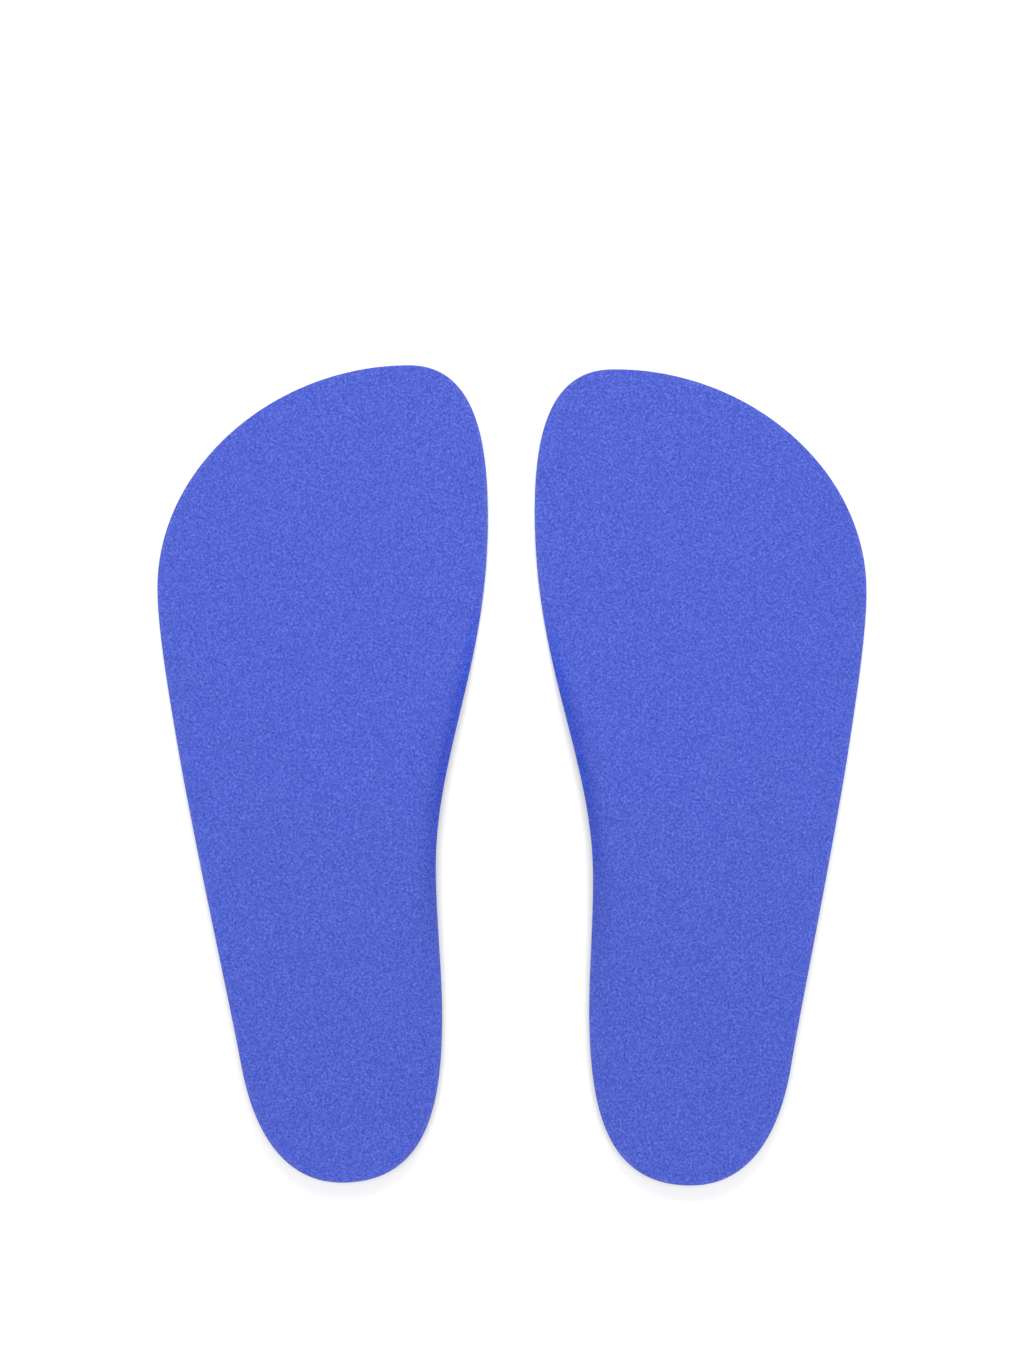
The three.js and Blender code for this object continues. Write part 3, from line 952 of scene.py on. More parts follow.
def finish_tree(tree, geometry, material):
    """Ends a tree in real, finished geometry, and gives the tree back."""
    real = wired(tree, "GeometryNodeRealizeInstances", {0: geometry})[0]
    finish = {"Geometry": real, "Material": material}
    wired(tree, "NodeGroupOutput", {0: wired(tree, "GeometryNodeSetMaterial", finish)[0]})
    return tree


def run_tree(tree, mesh, values):
    """Runs a tree on a mesh with the given inputs, and gives back the result as a mesh."""
    carrier = linked("tree_carrier", mesh)
    modifier = carrier.modifiers.new(tree.name, "NODES")
    modifier.node_group = tree
    for item in tree.interface.items_tree:
        if item.in_out == "INPUT" and item.name in values:
            modifier[item.identifier] = values[item.name]
    result = plain_mesh(carrier)
    carrier.modifiers.clear()
    bpy.data.objects.remove(carrier)
    return result


def position_of(tree):
    """Where each point lies."""
    return wired(tree, "GeometryNodeInputPosition")[0]


def set_position(tree, geometry, position):
    """The geometry with its points put in new places."""
    return wired(tree, "GeometryNodeSetPosition", {"Geometry": geometry, "Position": position})[0]


def instances(tree, points, inputs):
    """A shape put on every point."""
    return wired(tree, "GeometryNodeInstanceOnPoints", {"Points": points, **inputs})[0]


def stored(tree, geometry, name, value, kind):
    """The geometry with a value stored at each of its points."""
    inputs = {"Geometry": geometry, "Name": name, "Value": value}
    settings = {"data_type": kind, "domain": "POINT"}
    return wired(tree, "GeometryNodeStoreNamedAttribute", inputs, **settings)[0]


def recalled(tree, name, kind):
    """A value that is stored at each point."""
    named = wired(tree, "GeometryNodeInputNamedAttribute", {"Name": name}, data_type=kind)
    return named["Attribute"]


def found_above(tree, target):
    """Whether and where a ray straight up from below each point meets the target."""
    below = combined(tree, "ADD", position_of(tree), (0, 0, -RAY_START))
    inputs = {
        "Target Geometry": target,
        "Source Position": below,
        "Ray Direction": (0, 0, 1),
        "Ray Length": RAY_LENGTH,
    }
    return wired(tree, "GeometryNodeRaycast", inputs)


def lattice(tree, patch, spacing):
    """Points in a triangular lattice over a patch's box."""
    box = wired(tree, "GeometryNodeBoundBox", {0: patch})
    size = combined(tree, "SUBTRACT", box["Max"], box["Min"])
    middle = combined(tree, "MULTIPLY", combined(tree, "ADD", box["Max"], box["Min"]), (0.5,) * 3)
    extent = wired(tree, "ShaderNodeSeparateXYZ", {0: size})
    row_step = calculated(tree, "MULTIPLY", spacing, math.sqrt(3) / 2)
    rows = calculated(tree, "CEIL", calculated(tree, "DIVIDE", extent[0], row_step))
    columns = calculated(tree, "CEIL", calculated(tree, "DIVIDE", extent[1], spacing))
    row_points = calculated(tree, "ADD", columns, 1.0)
    sizes = {
        "Size X": calculated(tree, "MULTIPLY", rows, row_step),
        "Size Y": calculated(tree, "MULTIPLY", columns, spacing),
        "Vertices X": calculated(tree, "ADD", rows, 1.0),
        "Vertices Y": row_points,
    }
    grid = wired(tree, "GeometryNodeMeshGrid", sizes)[0]
    number = wired(tree, "GeometryNodeInputIndex")[0]
    row = calculated(tree, "FLOOR", calculated(tree, "DIVIDE", number, row_points))
    odd = calculated(tree, "MODULO", row, 2.0)
    slide = calculated(tree, "MULTIPLY", odd, calculated(tree, "MULTIPLY", spacing, 0.5))
    offset = combined(tree, "ADD", middle, vector(tree, y=slide))
    return wired(tree, "GeometryNodeSetPosition", {"Geometry": grid, "Offset": offset})[0]


def stud_tree():
    """Studs on a triangular lattice, under the given flat patch."""
    sizes = {"Spacing": 4.6 * MM, "Radius": 1.1 * MM, "Height": 0.5 * MM}
    tree, given = geometry_tree("stud_field", sizes)
    patch = given["Geometry"]
    under_patch = found_above(tree, patch)["Is Hit"]
    candidates = {"Mesh": lattice(tree, patch, given["Spacing"]), "Selection": under_patch}
    points = wired(tree, "GeometryNodeMeshToPoints", candidates)[0]
    on_ground = combined(tree, "MULTIPLY", position_of(tree), (1, 1, 0))
    cone = {
        "Vertices": STUD_SIDES,
        "Side Segments": STUD_RINGS,
        "Radius Top": given["Radius"],
        "Radius Bottom": calculated(tree, "MULTIPLY", given["Radius"], STUD_TIP),
        "Depth": given["Height"],
    }
    stud = wired(tree, "GeometryNodeMeshCone", cone)[0]
    studs = instances(tree, set_position(tree, points, on_ground), {"Instance": stud})
    return finish_tree(tree, studs, given["Material"])


def rib_lines(tree, given):
    """Straight lines side by side, turned and put in their place."""
    gaps = calculated(tree, "SUBTRACT", given["Ribs"], 1.0)
    first = calculated(tree, "MULTIPLY", calculated(tree, "MULTIPLY", gaps, -0.5), given["Spacing"])
    start = vector(tree, x=first)
    step = vector(tree, x=given["Spacing"])
    spots = {"Count": given["Ribs"], "Start Location": start, "Offset": step}
    row = wired(tree, "GeometryNodeMeshLine", spots)[0]
    half = calculated(tree, "MULTIPLY", given["Length"], 0.5)
    back = calculated(tree, "MULTIPLY", half, -1.0)
    ends = {"Start": vector(tree, y=back), "End": vector(tree, y=half)}
    line = wired(tree, "GeometryNodeCurvePrimitiveLine", ends)[0]
    fine = wired(tree, "GeometryNodeResampleCurve", {"Curve": line, "Count": RIB_STEPS})[0]
    lines = instances(tree, row, {"Instance": fine})
    move = {
        "Geometry": wired(tree, "GeometryNodeRealizeInstances", {0: lines})[0],
        "Translation": given["Middle"],
        "Rotation": vector(tree, z=given["Turn"]),
    }
    return wired(tree, "GeometryNodeTransform", move)[0]


def laid_under(tree, lines, target, sink):
    """Lines laid along a target's underside and sunk into it, with what lies past it cut off."""
    found = found_above(tree, target)
    missed = wired(tree, "FunctionNodeBooleanMath", {0: found["Is Hit"]}, operation="NOT")[0]
    marked = stored(tree, lines, "missed", missed, "BOOLEAN")
    seat = combined(tree, "ADD", found["Hit Position"], vector(tree, z=sink))
    laid = set_position(tree, marked, seat)
    past = {"Geometry": laid, "Selection": recalled(tree, "missed", "BOOLEAN")}
    return wired(tree, "GeometryNodeDeleteGeometry", past, domain="POINT")[0]


def rib_tree():
    """Ribs that lie along the underside of the given plate, side by side, joined to it."""
    sizes = {
        "Ribs": 7,
        "Spacing": 5.2 * MM,
        "Length": 60 * MM,
        "Radius": 0.75 * MM,
        "Sink": 0.25 * MM,
        "Middle": (0.0, 0.0, 0.0),
        "Turn": 0.0,
    }
    tree, given = geometry_tree("plate_ribs", sizes)
    ribs = laid_under(tree, rib_lines(tree, given), given["Geometry"], given["Sink"])
    steepness = 12.0
    thinnest = 0.12
    along = wired(tree, "GeometryNodeSplineParameter")["Factor"]
    left = calculated(tree, "SUBTRACT", 1.0, along)
    arc = calculated(tree, "MULTIPLY", calculated(tree, "MULTIPLY", along, left), steepness)
    taper = calculated(tree, "MAXIMUM", calculated(tree, "MINIMUM", arc, 1.0), thinnest)
    circle = {"Resolution": RIB_SIDES, "Radius": given["Radius"]}
    profile = wired(tree, "GeometryNodeCurvePrimitiveCircle", circle)[0]
    tube = {"Curve": ribs, "Profile Curve": profile, "Scale": taper, "Fill Caps": True}
    return finish_tree(tree, wired(tree, "GeometryNodeCurveToMesh", tube)[0], given["Material"])


def open_nap(tree):
    """Whether a face lies upwards and away from the cover's edge, where the nap stands."""
    steepest = 0.5
    barest = 0.4
    normal = wired(tree, "GeometryNodeInputNormal")[0]
    level = {0: wired(tree, "ShaderNodeSeparateXYZ", {0: normal})[2], 1: steepest}
    upward = wired(tree, "FunctionNodeCompare", level, operation="GREATER_THAN")[0]
    rim = {0: recalled(tree, "edge", "FLOAT"), 1: barest}
    inside = wired(tree, "FunctionNodeCompare", rim, operation="LESS_THAN")[0]
    return wired(tree, "FunctionNodeBooleanMath", {0: upward, 1: inside}, operation="AND")[0]


def drawn(tree, seed, number, low, high):
    """A random number for each fibre. Each numbered draw has a seed of its own."""
    inputs = {RANDOM_LOW: low, RANDOM_HIGH: high, "Seed": calculated(tree, "ADD", seed, number)}
    return wired(tree, "FunctionNodeRandomValue", inputs, data_type="FLOAT")[RANDOM_NUMBER]


def nap_tree():
    """Short fibres standing out of the upward faces of the given mesh."""
    sizes = {"Fibres per area": 6e5, "Length": 1 * MM, "Width": 0.1 * MM, "Lay": 1.2, "Seed": 7}
    tree, given = geometry_tree("raised_nap", sizes)
    seed = given["Seed"]
    sown = {
        "Mesh": given["Geometry"],
        "Selection": open_nap(tree),
        "Density": given["Fibres per area"],
        "Seed": seed,
    }
    points = wired(tree, "GeometryNodeDistributePointsOnFaces", sown)["Points"]
    cone = {
        "Vertices": FIBRE_SIDES,
        "Radius Top": 0.0,
        "Radius Bottom": given["Width"],
        "Depth": given["Length"],
    }
    wobble = drawn(tree, seed, number=1.0, low=0.75, high=1.12)
    heading = drawn(tree, seed, number=2.0, low=-math.pi, high=math.pi)
    cut_short = drawn(tree, seed, number=3.0, low=0.55, high=1.0)
    shade = drawn(tree, seed, number=4.0, low=0.0, high=1.0)
    lean = calculated(tree, "MULTIPLY", given["Lay"], wobble)
    shaded = stored(tree, points, "shade", shade, "FLOAT")
    fibre = {
        "Instance": wired(tree, "GeometryNodeMeshCone", cone)[0],
        "Rotation": vector(tree, x=lean, z=heading),
        "Scale": vector(tree, 1.0, 1.0, cut_short),
    }
    return finish_tree(tree, instances(tree, shaded, fibre), given["Material"])


# ---------------------------------------------------------------- finishes


def shader_group(name, values, results):
    """A shader node group with coordinates and named values in, and named results out."""
    inputs = [("Vector", "NodeSocketVector", None)]
    inputs += [(label, "NodeSocketFloat", value) for label, value in values.items()]
    outputs = [(label, "NodeSocketFloat") for label in results]
    return new_tree(name, "ShaderNodeTree", inputs, outputs)


def out_of_level(tree, coordinates):
    """Coordinates turned so that a level face never runs along a layer of the noise."""
    turn = {"Vector": coordinates, "Axis": (1.0, 0.7, 0.2), "Angle": 0.85}
    return wired(tree, "ShaderNodeVectorRotate", turn)[0]


def noise(tree, coordinates, scale, detail):
    """A noise between 0 and 1, with its scale in blots to a metre."""
    inputs = {"Vector": coordinates, "Scale": scale, "Detail": detail}
    return wired(tree, "ShaderNodeTexNoise", inputs)[0]


def varied(tree, mask, by, about):
    """A value that goes up or down with a mask."""
    return calculated(tree, "MULTIPLY_ADD", mask, by, about)


def centred(tree, value):
    """A value between 0 and 1, moved so that its middle is 0."""
    return calculated(tree, "SUBTRACT", value, 0.5)


def patches(tree, coordinates, scale, wider, detail):
    """A noise whose blots are wider than the scale says, with its middle at 0."""
    own_scale = calculated(tree, "DIVIDE", scale, wider)
    return centred(tree, noise(tree, coordinates, own_scale, detail))


def attribute(tree, name):
    """A value stored at the points of a mesh."""
    return wired(tree, "ShaderNodeAttribute", attribute_name=name)["Fac"]


def fibre_grain_group():
    """The mottle of a brushed surface: fine blots of light and dark fibre, and a little cloud."""
    values = {"Blot": 0.9 * MM, "Contrast": 1.0}
    tree, given = shader_group("fibre_grain", values, ("Shade", "Height"))
    turned = out_of_level(tree, given["Vector"])
    scale = calculated(tree, "DIVIDE", 1.0, given["Blot"])
    total = 0.0
    for wider, weight in ((1.0, 1.0), (40.0, 0.02)):
        blots = patches(tree, turned, scale, wider, detail=0.0)
        total = calculated(tree, "MULTIPLY_ADD", blots, weight, total)
    shade = calculated(tree, "EXPONENT", calculated(tree, "MULTIPLY", total, given["Contrast"]))
    wired(tree, "NodeGroupOutput", {"Shade": shade, "Height": total})
    return tree


def foam_cells_group():
    """The pores of a cut or moulded foam skin."""
    values = {"Cell": 0.5 * MM, "Contrast": 0.3}
    tree, given = shader_group("foam_cells", values, ("Shade", "Height"))
    turned = out_of_level(tree, given["Vector"])
    scale = calculated(tree, "DIVIDE", 1.0, given["Cell"])
    inputs = {"Vector": turned, "Scale": scale, "Smoothness": 0.6}
    cells = wired(tree, "ShaderNodeTexVoronoi", inputs, feature="SMOOTH_F1")["Distance"]
    pores = varied(tree, cells, by=-1.0, about=0.45)
    cloud = patches(tree, given["Vector"], scale, wider=12.5, detail=2.0)
    mixed = varied(tree, cloud, by=0.5, about=pores)
    shade = calculated(tree, "MULTIPLY_ADD", mixed, given["Contrast"], 1.0)
    wired(tree, "NodeGroupOutput", {"Shade": shade, "Height": cells})
    return tree


def mould_grain_group():
    """The fine blasted texture that a mould leaves, with softer patches of gloss."""
    values = {"Grain": 0.35 * MM, "Roughness": 0.6}
    tree, given = shader_group("mould_grain", values, ("Roughness", "Height"))
    scale = calculated(tree, "DIVIDE", 1.0, given["Grain"])
    fine = noise(tree, out_of_level(tree, given["Vector"]), scale, detail=2.0)
    gloss = patches(tree, given["Vector"], scale, wider=50.0, detail=3.0)
    rough = varied(tree, gloss, by=0.35, about=given["Roughness"])
    wired(tree, "NodeGroupOutput", {"Roughness": rough, "Height": fine})
    return tree


def edge_wear_group():
    """How rubbed an edge is: the mesh's edge mask, broken up so that it isn't a clean line."""
    tree, given = shader_group("edge_wear", {"Amount": 0.5}, ("Wear",))
    uneven = noise(tree, given["Vector"], scale=260.0, detail=4.0)
    kept = wired(tree, "ShaderNodeClamp", {0: varied(tree, uneven, by=2.4, about=-0.7)})[0]
    rubbed = calculated(tree, "MULTIPLY", attribute(tree, "edge"), kept)
    wear = calculated(tree, "MULTIPLY", rubbed, given["Amount"])
    wired(tree, "NodeGroupOutput", {"Wear": wear})
    return tree


GROUPS = {
    "fibre_grain": fibre_grain_group,
    "foam_cells": foam_cells_group,
    "mould_grain": mould_grain_group,
    "edge_wear": edge_wear_group,
    "stud_field": stud_tree,
}


def shared(name):
    """A node group by name, made the first time that it is asked for."""
    return bpy.data.node_groups.get(name) or GROUPS[name]()


def placed(tree, name, values):
    """The results of a shared node group in a material, where it reads Object coordinates."""
    coordinates = wired(tree, "ShaderNodeTexCoord")["Object"]
    inputs = {"Vector": coordinates, **values}
    return wired(tree, "ShaderNodeGroup", inputs, node_tree=shared(name))


def new_material(name, plain=None):
    """A material with a Principled surface, with the values that are the same all over it."""
    material = bpy.data.materials.new(name)
    material.use_nodes = True
    surface = material.node_tree.nodes["Principled BSDF"]
    for socket, value in (plain or {}).items():
        surface.inputs[socket].default_value = value
    return material, material.node_tree


def finished(material, looks):
    """Joins changing colours, values and normals to a material's surface."""
    tree = material.node_tree
    surface = tree.nodes["Principled BSDF"]
    for name, socket in looks.items():
        tree.links.new(socket, surface.inputs[name])
    return material


def lighter(base, by):
    """A colour moved towards white."""
    return tuple(channel + (1 - channel) * by for channel in base)


def tinted(tree, shade, base, saturation=1.0):
    """A colour made lighter and darker by a shade."""
    inputs = {"Value": shade, "Saturation": saturation, "Color": (*base, 1)}
    return wired(tree, "ShaderNodeHueSaturation", inputs)[0]


def nap_colour(tree, shade, base):
    """The colour of brushed nap: paler where it is light, and deeper where it is dark, with painted
    shade deepening it further along the arch's steep edge."""
    deepness = varied(tree, shade, by=-PALING, about=1 + PALING)
    painted_arch_shade = attribute(tree, "painted_arch_shade")
    # Saturation raised in the painted shade along the arch's edge, which darkens the nap's red and
    # green there
    saturation = calculated(tree, "MULTIPLY_ADD", painted_arch_shade, PAINTED_SHADE_DEEPENING, deepness)
    return tinted(tree, calculated(tree, "POWER", shade, NAP_VALUE_POWER), base, saturation)


def worn(tree, colour, base, amount, paling):
    """A colour that is paler than its base where an edge is rubbed."""
    wear = placed(tree, "edge_wear", {"Amount": amount})["Wear"]
    bare = (*lighter(base, paling), 1)
    inputs = {MIX_FACTOR: wear, MIX_COLOUR: colour, MIX_OTHER_COLOUR: bare}
    return wired(tree, "ShaderNodeMix", inputs, data_type="RGBA")[MIXED_COLOUR]


def bumped(tree, height, depth, strength):
    """The normals of a surface raised by a height."""
    inputs = {"Height": height, "Distance": depth, "Strength": strength}
    return wired(tree, "ShaderNodeBump", inputs)[0]


def cover_material(colours):
    """Brushed microfibre: a fine light and dark mottle, a soft sheen and a paler cut edge."""
    base = tuple(colours.cover)
    plain = {
        "Specular IOR Level": 0.2,
        "Sheen Weight": 0.08,
        "Sheen Roughness": 0.55,
        "Sheen Tint": (*lighter(base, 0.35), 1),
    }
    material, tree = new_material("cover_microfibre", plain)
    grain = placed(tree, "fibre_grain", {"Blot": NAP_BLOT, "Contrast": 1.25})
    # The nap's colour carries painted shade along the arch's edge
    shaded = nap_colour(tree, grain["Shade"], base)
    looks = {
        "Base Color": worn(tree, shaded, base, amount=0.1, paling=0.25),
        "Roughness": varied(tree, grain["Height"], by=-0.25, about=0.93),
        "Normal": bumped(tree, grain["Height"], depth=0.25 * MM, strength=0.55),
    }
    return finished(material, looks)


def nap_material(colours):
    """The raised fibres of the cover, each a little lighter or darker than the next."""
    plain = {"Roughness": 0.9, "Specular IOR Level": 0.2}
    material, tree = new_material("cover_nap", plain)
    grain = placed(tree, "fibre_grain", {"Blot": NAP_BLOT, "Contrast": 0.8})
    spread = varied(tree, attribute(tree, "shade"), by=0.8, about=0.9)
    shade = calculated(tree, "MULTIPLY", spread, grain["Shade"])
    # Painted shade along the arch's edge comes with the nap's colour
    return finished(material, {"Base Color": nap_colour(tree, shade, tuple(colours.cover))})


def foam_material(colours):
    """Soft closed-cell foam, cut at its sides."""
    base = tuple(colours.foam)
    material, tree = new_material("soft_foam")
    cells = placed(tree, "foam_cells", {"Cell": 0.55 * MM, "Contrast": 0.55})
    shaded = tinted(tree, cells["Shade"], base)
    looks = {
        "Base Color": worn(tree, shaded, base, amount=0.3, paling=0.3),
        "Roughness": varied(tree, cells["Height"], by=0.2, about=0.72),
        "Normal": bumped(tree, cells["Height"], depth=0.12 * MM, strength=0.6),
    }
    return finished(material, looks)


def shell_material(colours):
    """Firm moulded foam with a fine blasted skin."""
    base = tuple(colours.shell)
    material, tree = new_material("moulded_shell")
    cells = placed(tree, "foam_cells", {"Cell": 0.9 * MM, "Contrast": 0.5})
    skin = placed(tree, "mould_grain", {"Grain": 0.4 * MM, "Roughness": 0.74})
    shaded = tinted(tree, cells["Shade"], base)
    looks = {
        "Base Color": worn(tree, shaded, base, amount=0.35, paling=0.16),
        "Roughness": skin["Roughness"],
        "Normal": bumped(tree, skin["Height"], depth=0.08 * MM, strength=0.7),
    }
    return finished(material, looks)


def support_material(colours):
    """Satin moulded plastic of the arch support."""
    base = tuple(colours.support)
    material, tree = new_material("satin_support")
    skin = placed(tree, "mould_grain", {"Grain": 0.5 * MM, "Roughness": 0.42})
    shaded = tinted(tree, varied(tree, skin["Height"], by=0.3, about=0.85), base)
    looks = {
        "Base Color": worn(tree, shaded, base, amount=0.4, paling=0.12),
        "Roughness": skin["Roughness"],
        "Normal": bumped(tree, skin["Height"], depth=0.04 * MM, strength=0.4),
    }
    return finished(material, looks)


def pad_material(colours):
    """Soft satin cushioning of the heel and forefoot pads."""
    plain = {
        "Subsurface Weight": 0.15,
        "Subsurface Radius": (0.4, 0.5, 1.0),
        "Subsurface Scale": 1.5 * MM,
    }
    material, tree = new_material("soft_pad", plain)
    cells = placed(tree, "foam_cells", {"Cell": 0.4 * MM, "Contrast": 0.35})
    skin = placed(tree, "mould_grain", {"Grain": 0.6 * MM, "Roughness": 0.5})
    looks = {
        "Base Color": tinted(tree, cells["Shade"], tuple(colours.pad)),
        "Roughness": skin["Roughness"],
        "Normal": bumped(tree, skin["Height"], depth=0.05 * MM, strength=0.5),
    }
    return finished(material, looks)


def floor_material(colours):
    """A matt, seamless pale floor."""
    plain = {
        "Base Color": (*colours.floor, 1),
        "Roughness": 1.0,
        "Specular IOR Level": 0.0,
    }
    material, _ = new_material("stage_floor", plain)
    return material


# ---------------------------------------------------------------- shapes of the pieces


def side_levels(side, over, under):
    """The levels of a layer whose side is given as steps from its upper to its lower face."""
    levels = []
    for inset, lean, down, up, edge in side:
        height = raised(between(over, under, down), up * MM)
        levels.append((inset * MM, lean, height, edge))
    return levels


def cover_shape(footbed, ladder):
    """One die-cut sheet with a slightly rolled edge."""
    roll = 0.35 * MM
    bevel_width = 0.14 * MM
    bevel_height = 0.18 * MM
    rolled = rounded(roll, downward=True)
    levels = [(inset, 0, raised(footbed.top, -drop), 1.0) for inset, drop in rolled]
    under = raised(footbed.top, -footbed.bed.cover)
    levels += [(0, 0, raised(under, bevel_height), 0.8), (bevel_width, 0, under, 0.8)]
    return layer(ladder, levels)


def foam_under(footbed):
    """The foam's lower face: on the base shell behind its front edge, on the ground ahead."""
    front = footbed.shell_front() + footbed.bed.bond / 2

    def height(places):
        """Height of the foam's lower face at each place."""
        on_shell = footbed.shell_top(places) + footbed.bed.bond
        return np.where(footbed.flexwise(places) < front, on_shell, footbed.sole(places))

    return height


def foam_shape(footbed, ladder):
    """The full-length soft layer, with a side that bulges a little."""
    return layer(ladder, side_levels(FOAM_SIDE, footbed.foam_top, foam_under(footbed)))


def shell_shape(footbed, ladder):
    """The firm shell under the heel and arch, with a rounded lower edge."""
    levels = side_levels(SHELL_SIDE, footbed.shell_top, footbed.sole)
    return layer(ladder, levels, ladder.rows_to(footbed.shell_front()))


def pad_room(oval, thickness, clearance, material):
    """What a pad's room takes away: an upright oval with a flared mouth."""
    roof = thickness + clearance
    corner = 0.3 * MM
    mouth = 0.5 * MM
    flare = 0.45 * MM
    mouth_depth = 0.02 * MM
    levels = [
        (corner - clearance, flat(roof), 0.5),
        (-clearance, flat(roof - corner), 0.0),
        (-clearance, flat(mouth), 0.0),
        (-clearance - flare, flat(-mouth_depth), 1.0),
        (-clearance - flare, flat(-CUT_DEPTH), 0.0),
    ]
    return disc(oval, levels).mesh("room", material)


def support_room(footbed, material):
    """What the arch support's room takes away from the base shell."""
    sizes = footbed.inset
    over = raised(footbed.underside, sizes.support_top + footbed.bed.bond)
    under = raised(footbed.underside, -CUT_DEPTH)
    levels = [(-sizes.clearance, over, 0.5), (-sizes.clearance, under, 0.0)]
    return disc(footbed.support_oval(sizes.support_wall_inset), levels).mesh("room", material)


def pad_thickness(name):
    """Thickness of a pad, from the frame."""
    low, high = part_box(f"left_{name}")
    return high.z - low.z


def pad_shape(oval, thickness, belly):
    """A soft pad: flat above, rounded at its edge and slightly hollowed where its dots stand."""
    corner = 0.7 * MM
    upper = rounded(corner, downward=True)
    lower = rounded(corner, downward=False)
    levels = [(inset, flat(thickness - drop), 0.6) for inset, drop in upper]
    levels += [(inset, flat(belly + corner - drop), 0.6) for inset, drop in lower]
    return disc(oval, levels)


def support_shape(footbed):
    """The arch support's plate, trimmed along the medial wall and with a chamfered edge."""
    sizes = footbed.inset
    over = raised(footbed.underside, sizes.support_top)
    under = raised(over, -sizes.support_plate)
    corner = 0.3 * MM
    shoulder = corner * 0.3
    levels = [
        (corner, over, 0.8),
        (shoulder, raised(over, -shoulder), 1.0),
        (0, raised(over, -corner), 0.8),
        (shoulder, raised(under, shoulder), 1.0),
        (corner, under, 0.8),
    ]
    return disc(footbed.support_oval(sizes.support_wall_inset), levels)


def support_ribs(footbed, plate, material):
    """The ribs under the arch support's plate."""
    sizes = footbed.inset
    oval = footbed.support_oval()
    values = {
        "Ribs": sizes.support_ribs,
        "Spacing": sizes.support_rib_step,
        "Length": 2 * (oval.half[1] - sizes.support_rib_margin),
        "Radius": sizes.support_rib_radius,
        "Sink": sizes.support_rib_sink,
        "Middle": (*oval.middle, 0.0),
        "Turn": sizes.support_turn,
        "Material": material,
    }
    ribs = run_tree(rib_tree(), plate.copy(), values)
    smooth(ribs, RIB_SHARP)
    return ribs


def field_patch(footbed, ladder, low, high):
    """The part of the underside's field between two lines parallel to the flex line."""
    grid = ladder.grid(0, 0, len(ladder.flexwise))
    places = grid.reshape(-1, 2)
    across = footbed.flexwise(places)
    inside = (across > low) & (across < high)
    inside &= (footbed.field(places) > FIELD_WHOLE) & (footbed.underside(places) < FIELD_LEVEL)
    shape = Shape()
    numbers = shape.add(places, np.zeros(len(places)), 0.0).reshape(grid.shape[:2])
    shape.faces = [face for face in grid_faces(numbers, True) if inside[face].all()]
    return shape


def oval_patch(oval, margin):
    """A flat patch inside an oval."""
    return disc(oval, [(margin, flat(0.0), 0.0), (margin, flat(-MM), 0.0)])


def studs_mesh(patch, spacing, radius, height, material):
    """Studs under a flat patch, standing on the ground."""
    values = {"Spacing": spacing, "Radius": radius, "Height": height, "Material": material}
    mesh = run_tree(shared("stud_field"), patch.mesh("patch", material), values)
    smooth(mesh, STUD_SHARP)
    return mesh


def field_studs(footbed, ladder, low, high, material):
    """The studs of the underside between two lines parallel to the flex line."""
    sizes = footbed.inset
    patch = field_patch(footbed, ladder, low, high)
    height = sizes.field_depth + sizes.stud_root
    return studs_mesh(patch, sizes.stud_spacing, sizes.stud_radius, height, material)


def pad_dots(footbed, oval, material):
    """The dots under a pad."""
    sizes = footbed.inset
    patch = oval_patch(oval, sizes.dimple_margin)
    height = sizes.dimple_depth + sizes.stud_root
    return studs_mesh(patch, sizes.dimple_spacing, sizes.dimple_radius, height, material)


def places_of(mesh):
    """Where a mesh's points lie, seen from above."""
    points = np.zeros(len(mesh.vertices) * 3, np.float32)
    mesh.vertices.foreach_get("co", points)
    return points.reshape(-1, 3)[:, :2].astype(float)


def mark_painted_arch_shade(footbed, mesh):
    """Stores at each point how strong the painted shade along the arch's edge is."""
    add_mask(mesh, "painted_arch_shade", footbed.painted_arch_shade(places_of(mesh)))


def nap_mesh(footbed, scene, cover):
    """The raised fibres of a cover, with a map of their own for baking."""
    sizes = scene.insole_nap
    values = {
        "Fibres per area": sizes.fibres / footbed.area(),
        "Length": sizes.fibre_length,
        "Width": sizes.fibre_width / 2,
        "Lay": sizes.lay,
        "Seed": sizes.seed,
        "Material": nap_material(scene.insole_finishes),
    }
    mesh = run_tree(nap_tree(), cover.copy(), values)
    places = places_of(mesh)
    spread = (places - places.min(0)) / (places.max(0) - places.min(0)).max()
    corner_points = np.zeros(len(mesh.loops), np.int32)
    mesh.loops.foreach_get("vertex_index", corner_points)
    for map_name in [known.name for known in mesh.uv_layers]:
        mesh.uv_layers.remove(mesh.uv_layers[map_name])
    own_map = mesh.uv_layers.new(name="OFBake")
    own_map.data.foreach_set("uv", spread[corner_points].reshape(-1))
    # Painted shade along the arch's edge, in the fibres' colour
    mark_painted_arch_shade(footbed, mesh)
    return mesh


# ---------------------------------------------------------------- operators


def shape_tools(context):
    """The footbed and its rows, from the scene's sizes."""
    footbed = Footbed(context.scene)
    return footbed, Ladder(footbed)


class INSOLE_OT_covers(bpy.types.Operator):
    """Make the two top covers of brushed microfibre"""

    bl_idname = "insole.covers"
    bl_label = "Top Covers"

    def execute(self, context):
        footbed, ladder = shape_tools(context)
        material = cover_material(context.scene.insole_finishes)
        mesh = cover_shape(footbed, ladder).mesh("top_cover", material)
        # Painted shade along the arch's edge, in the cover's colour
        mark_painted_arch_shade(footbed, mesh)
        nap = nap_mesh(footbed, context.scene, mesh)
        for side in SIDES:
            cover = place(footbed, mesh, side, "top_cover")
            fibres = place(footbed, nap, side, "cover_nap")
            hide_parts(f"{side}_top_cover_rear", f"{side}_top_cover_front")
            footbed.area()
            bend(cover)
            bend(fibres)
        return {"FINISHED"}


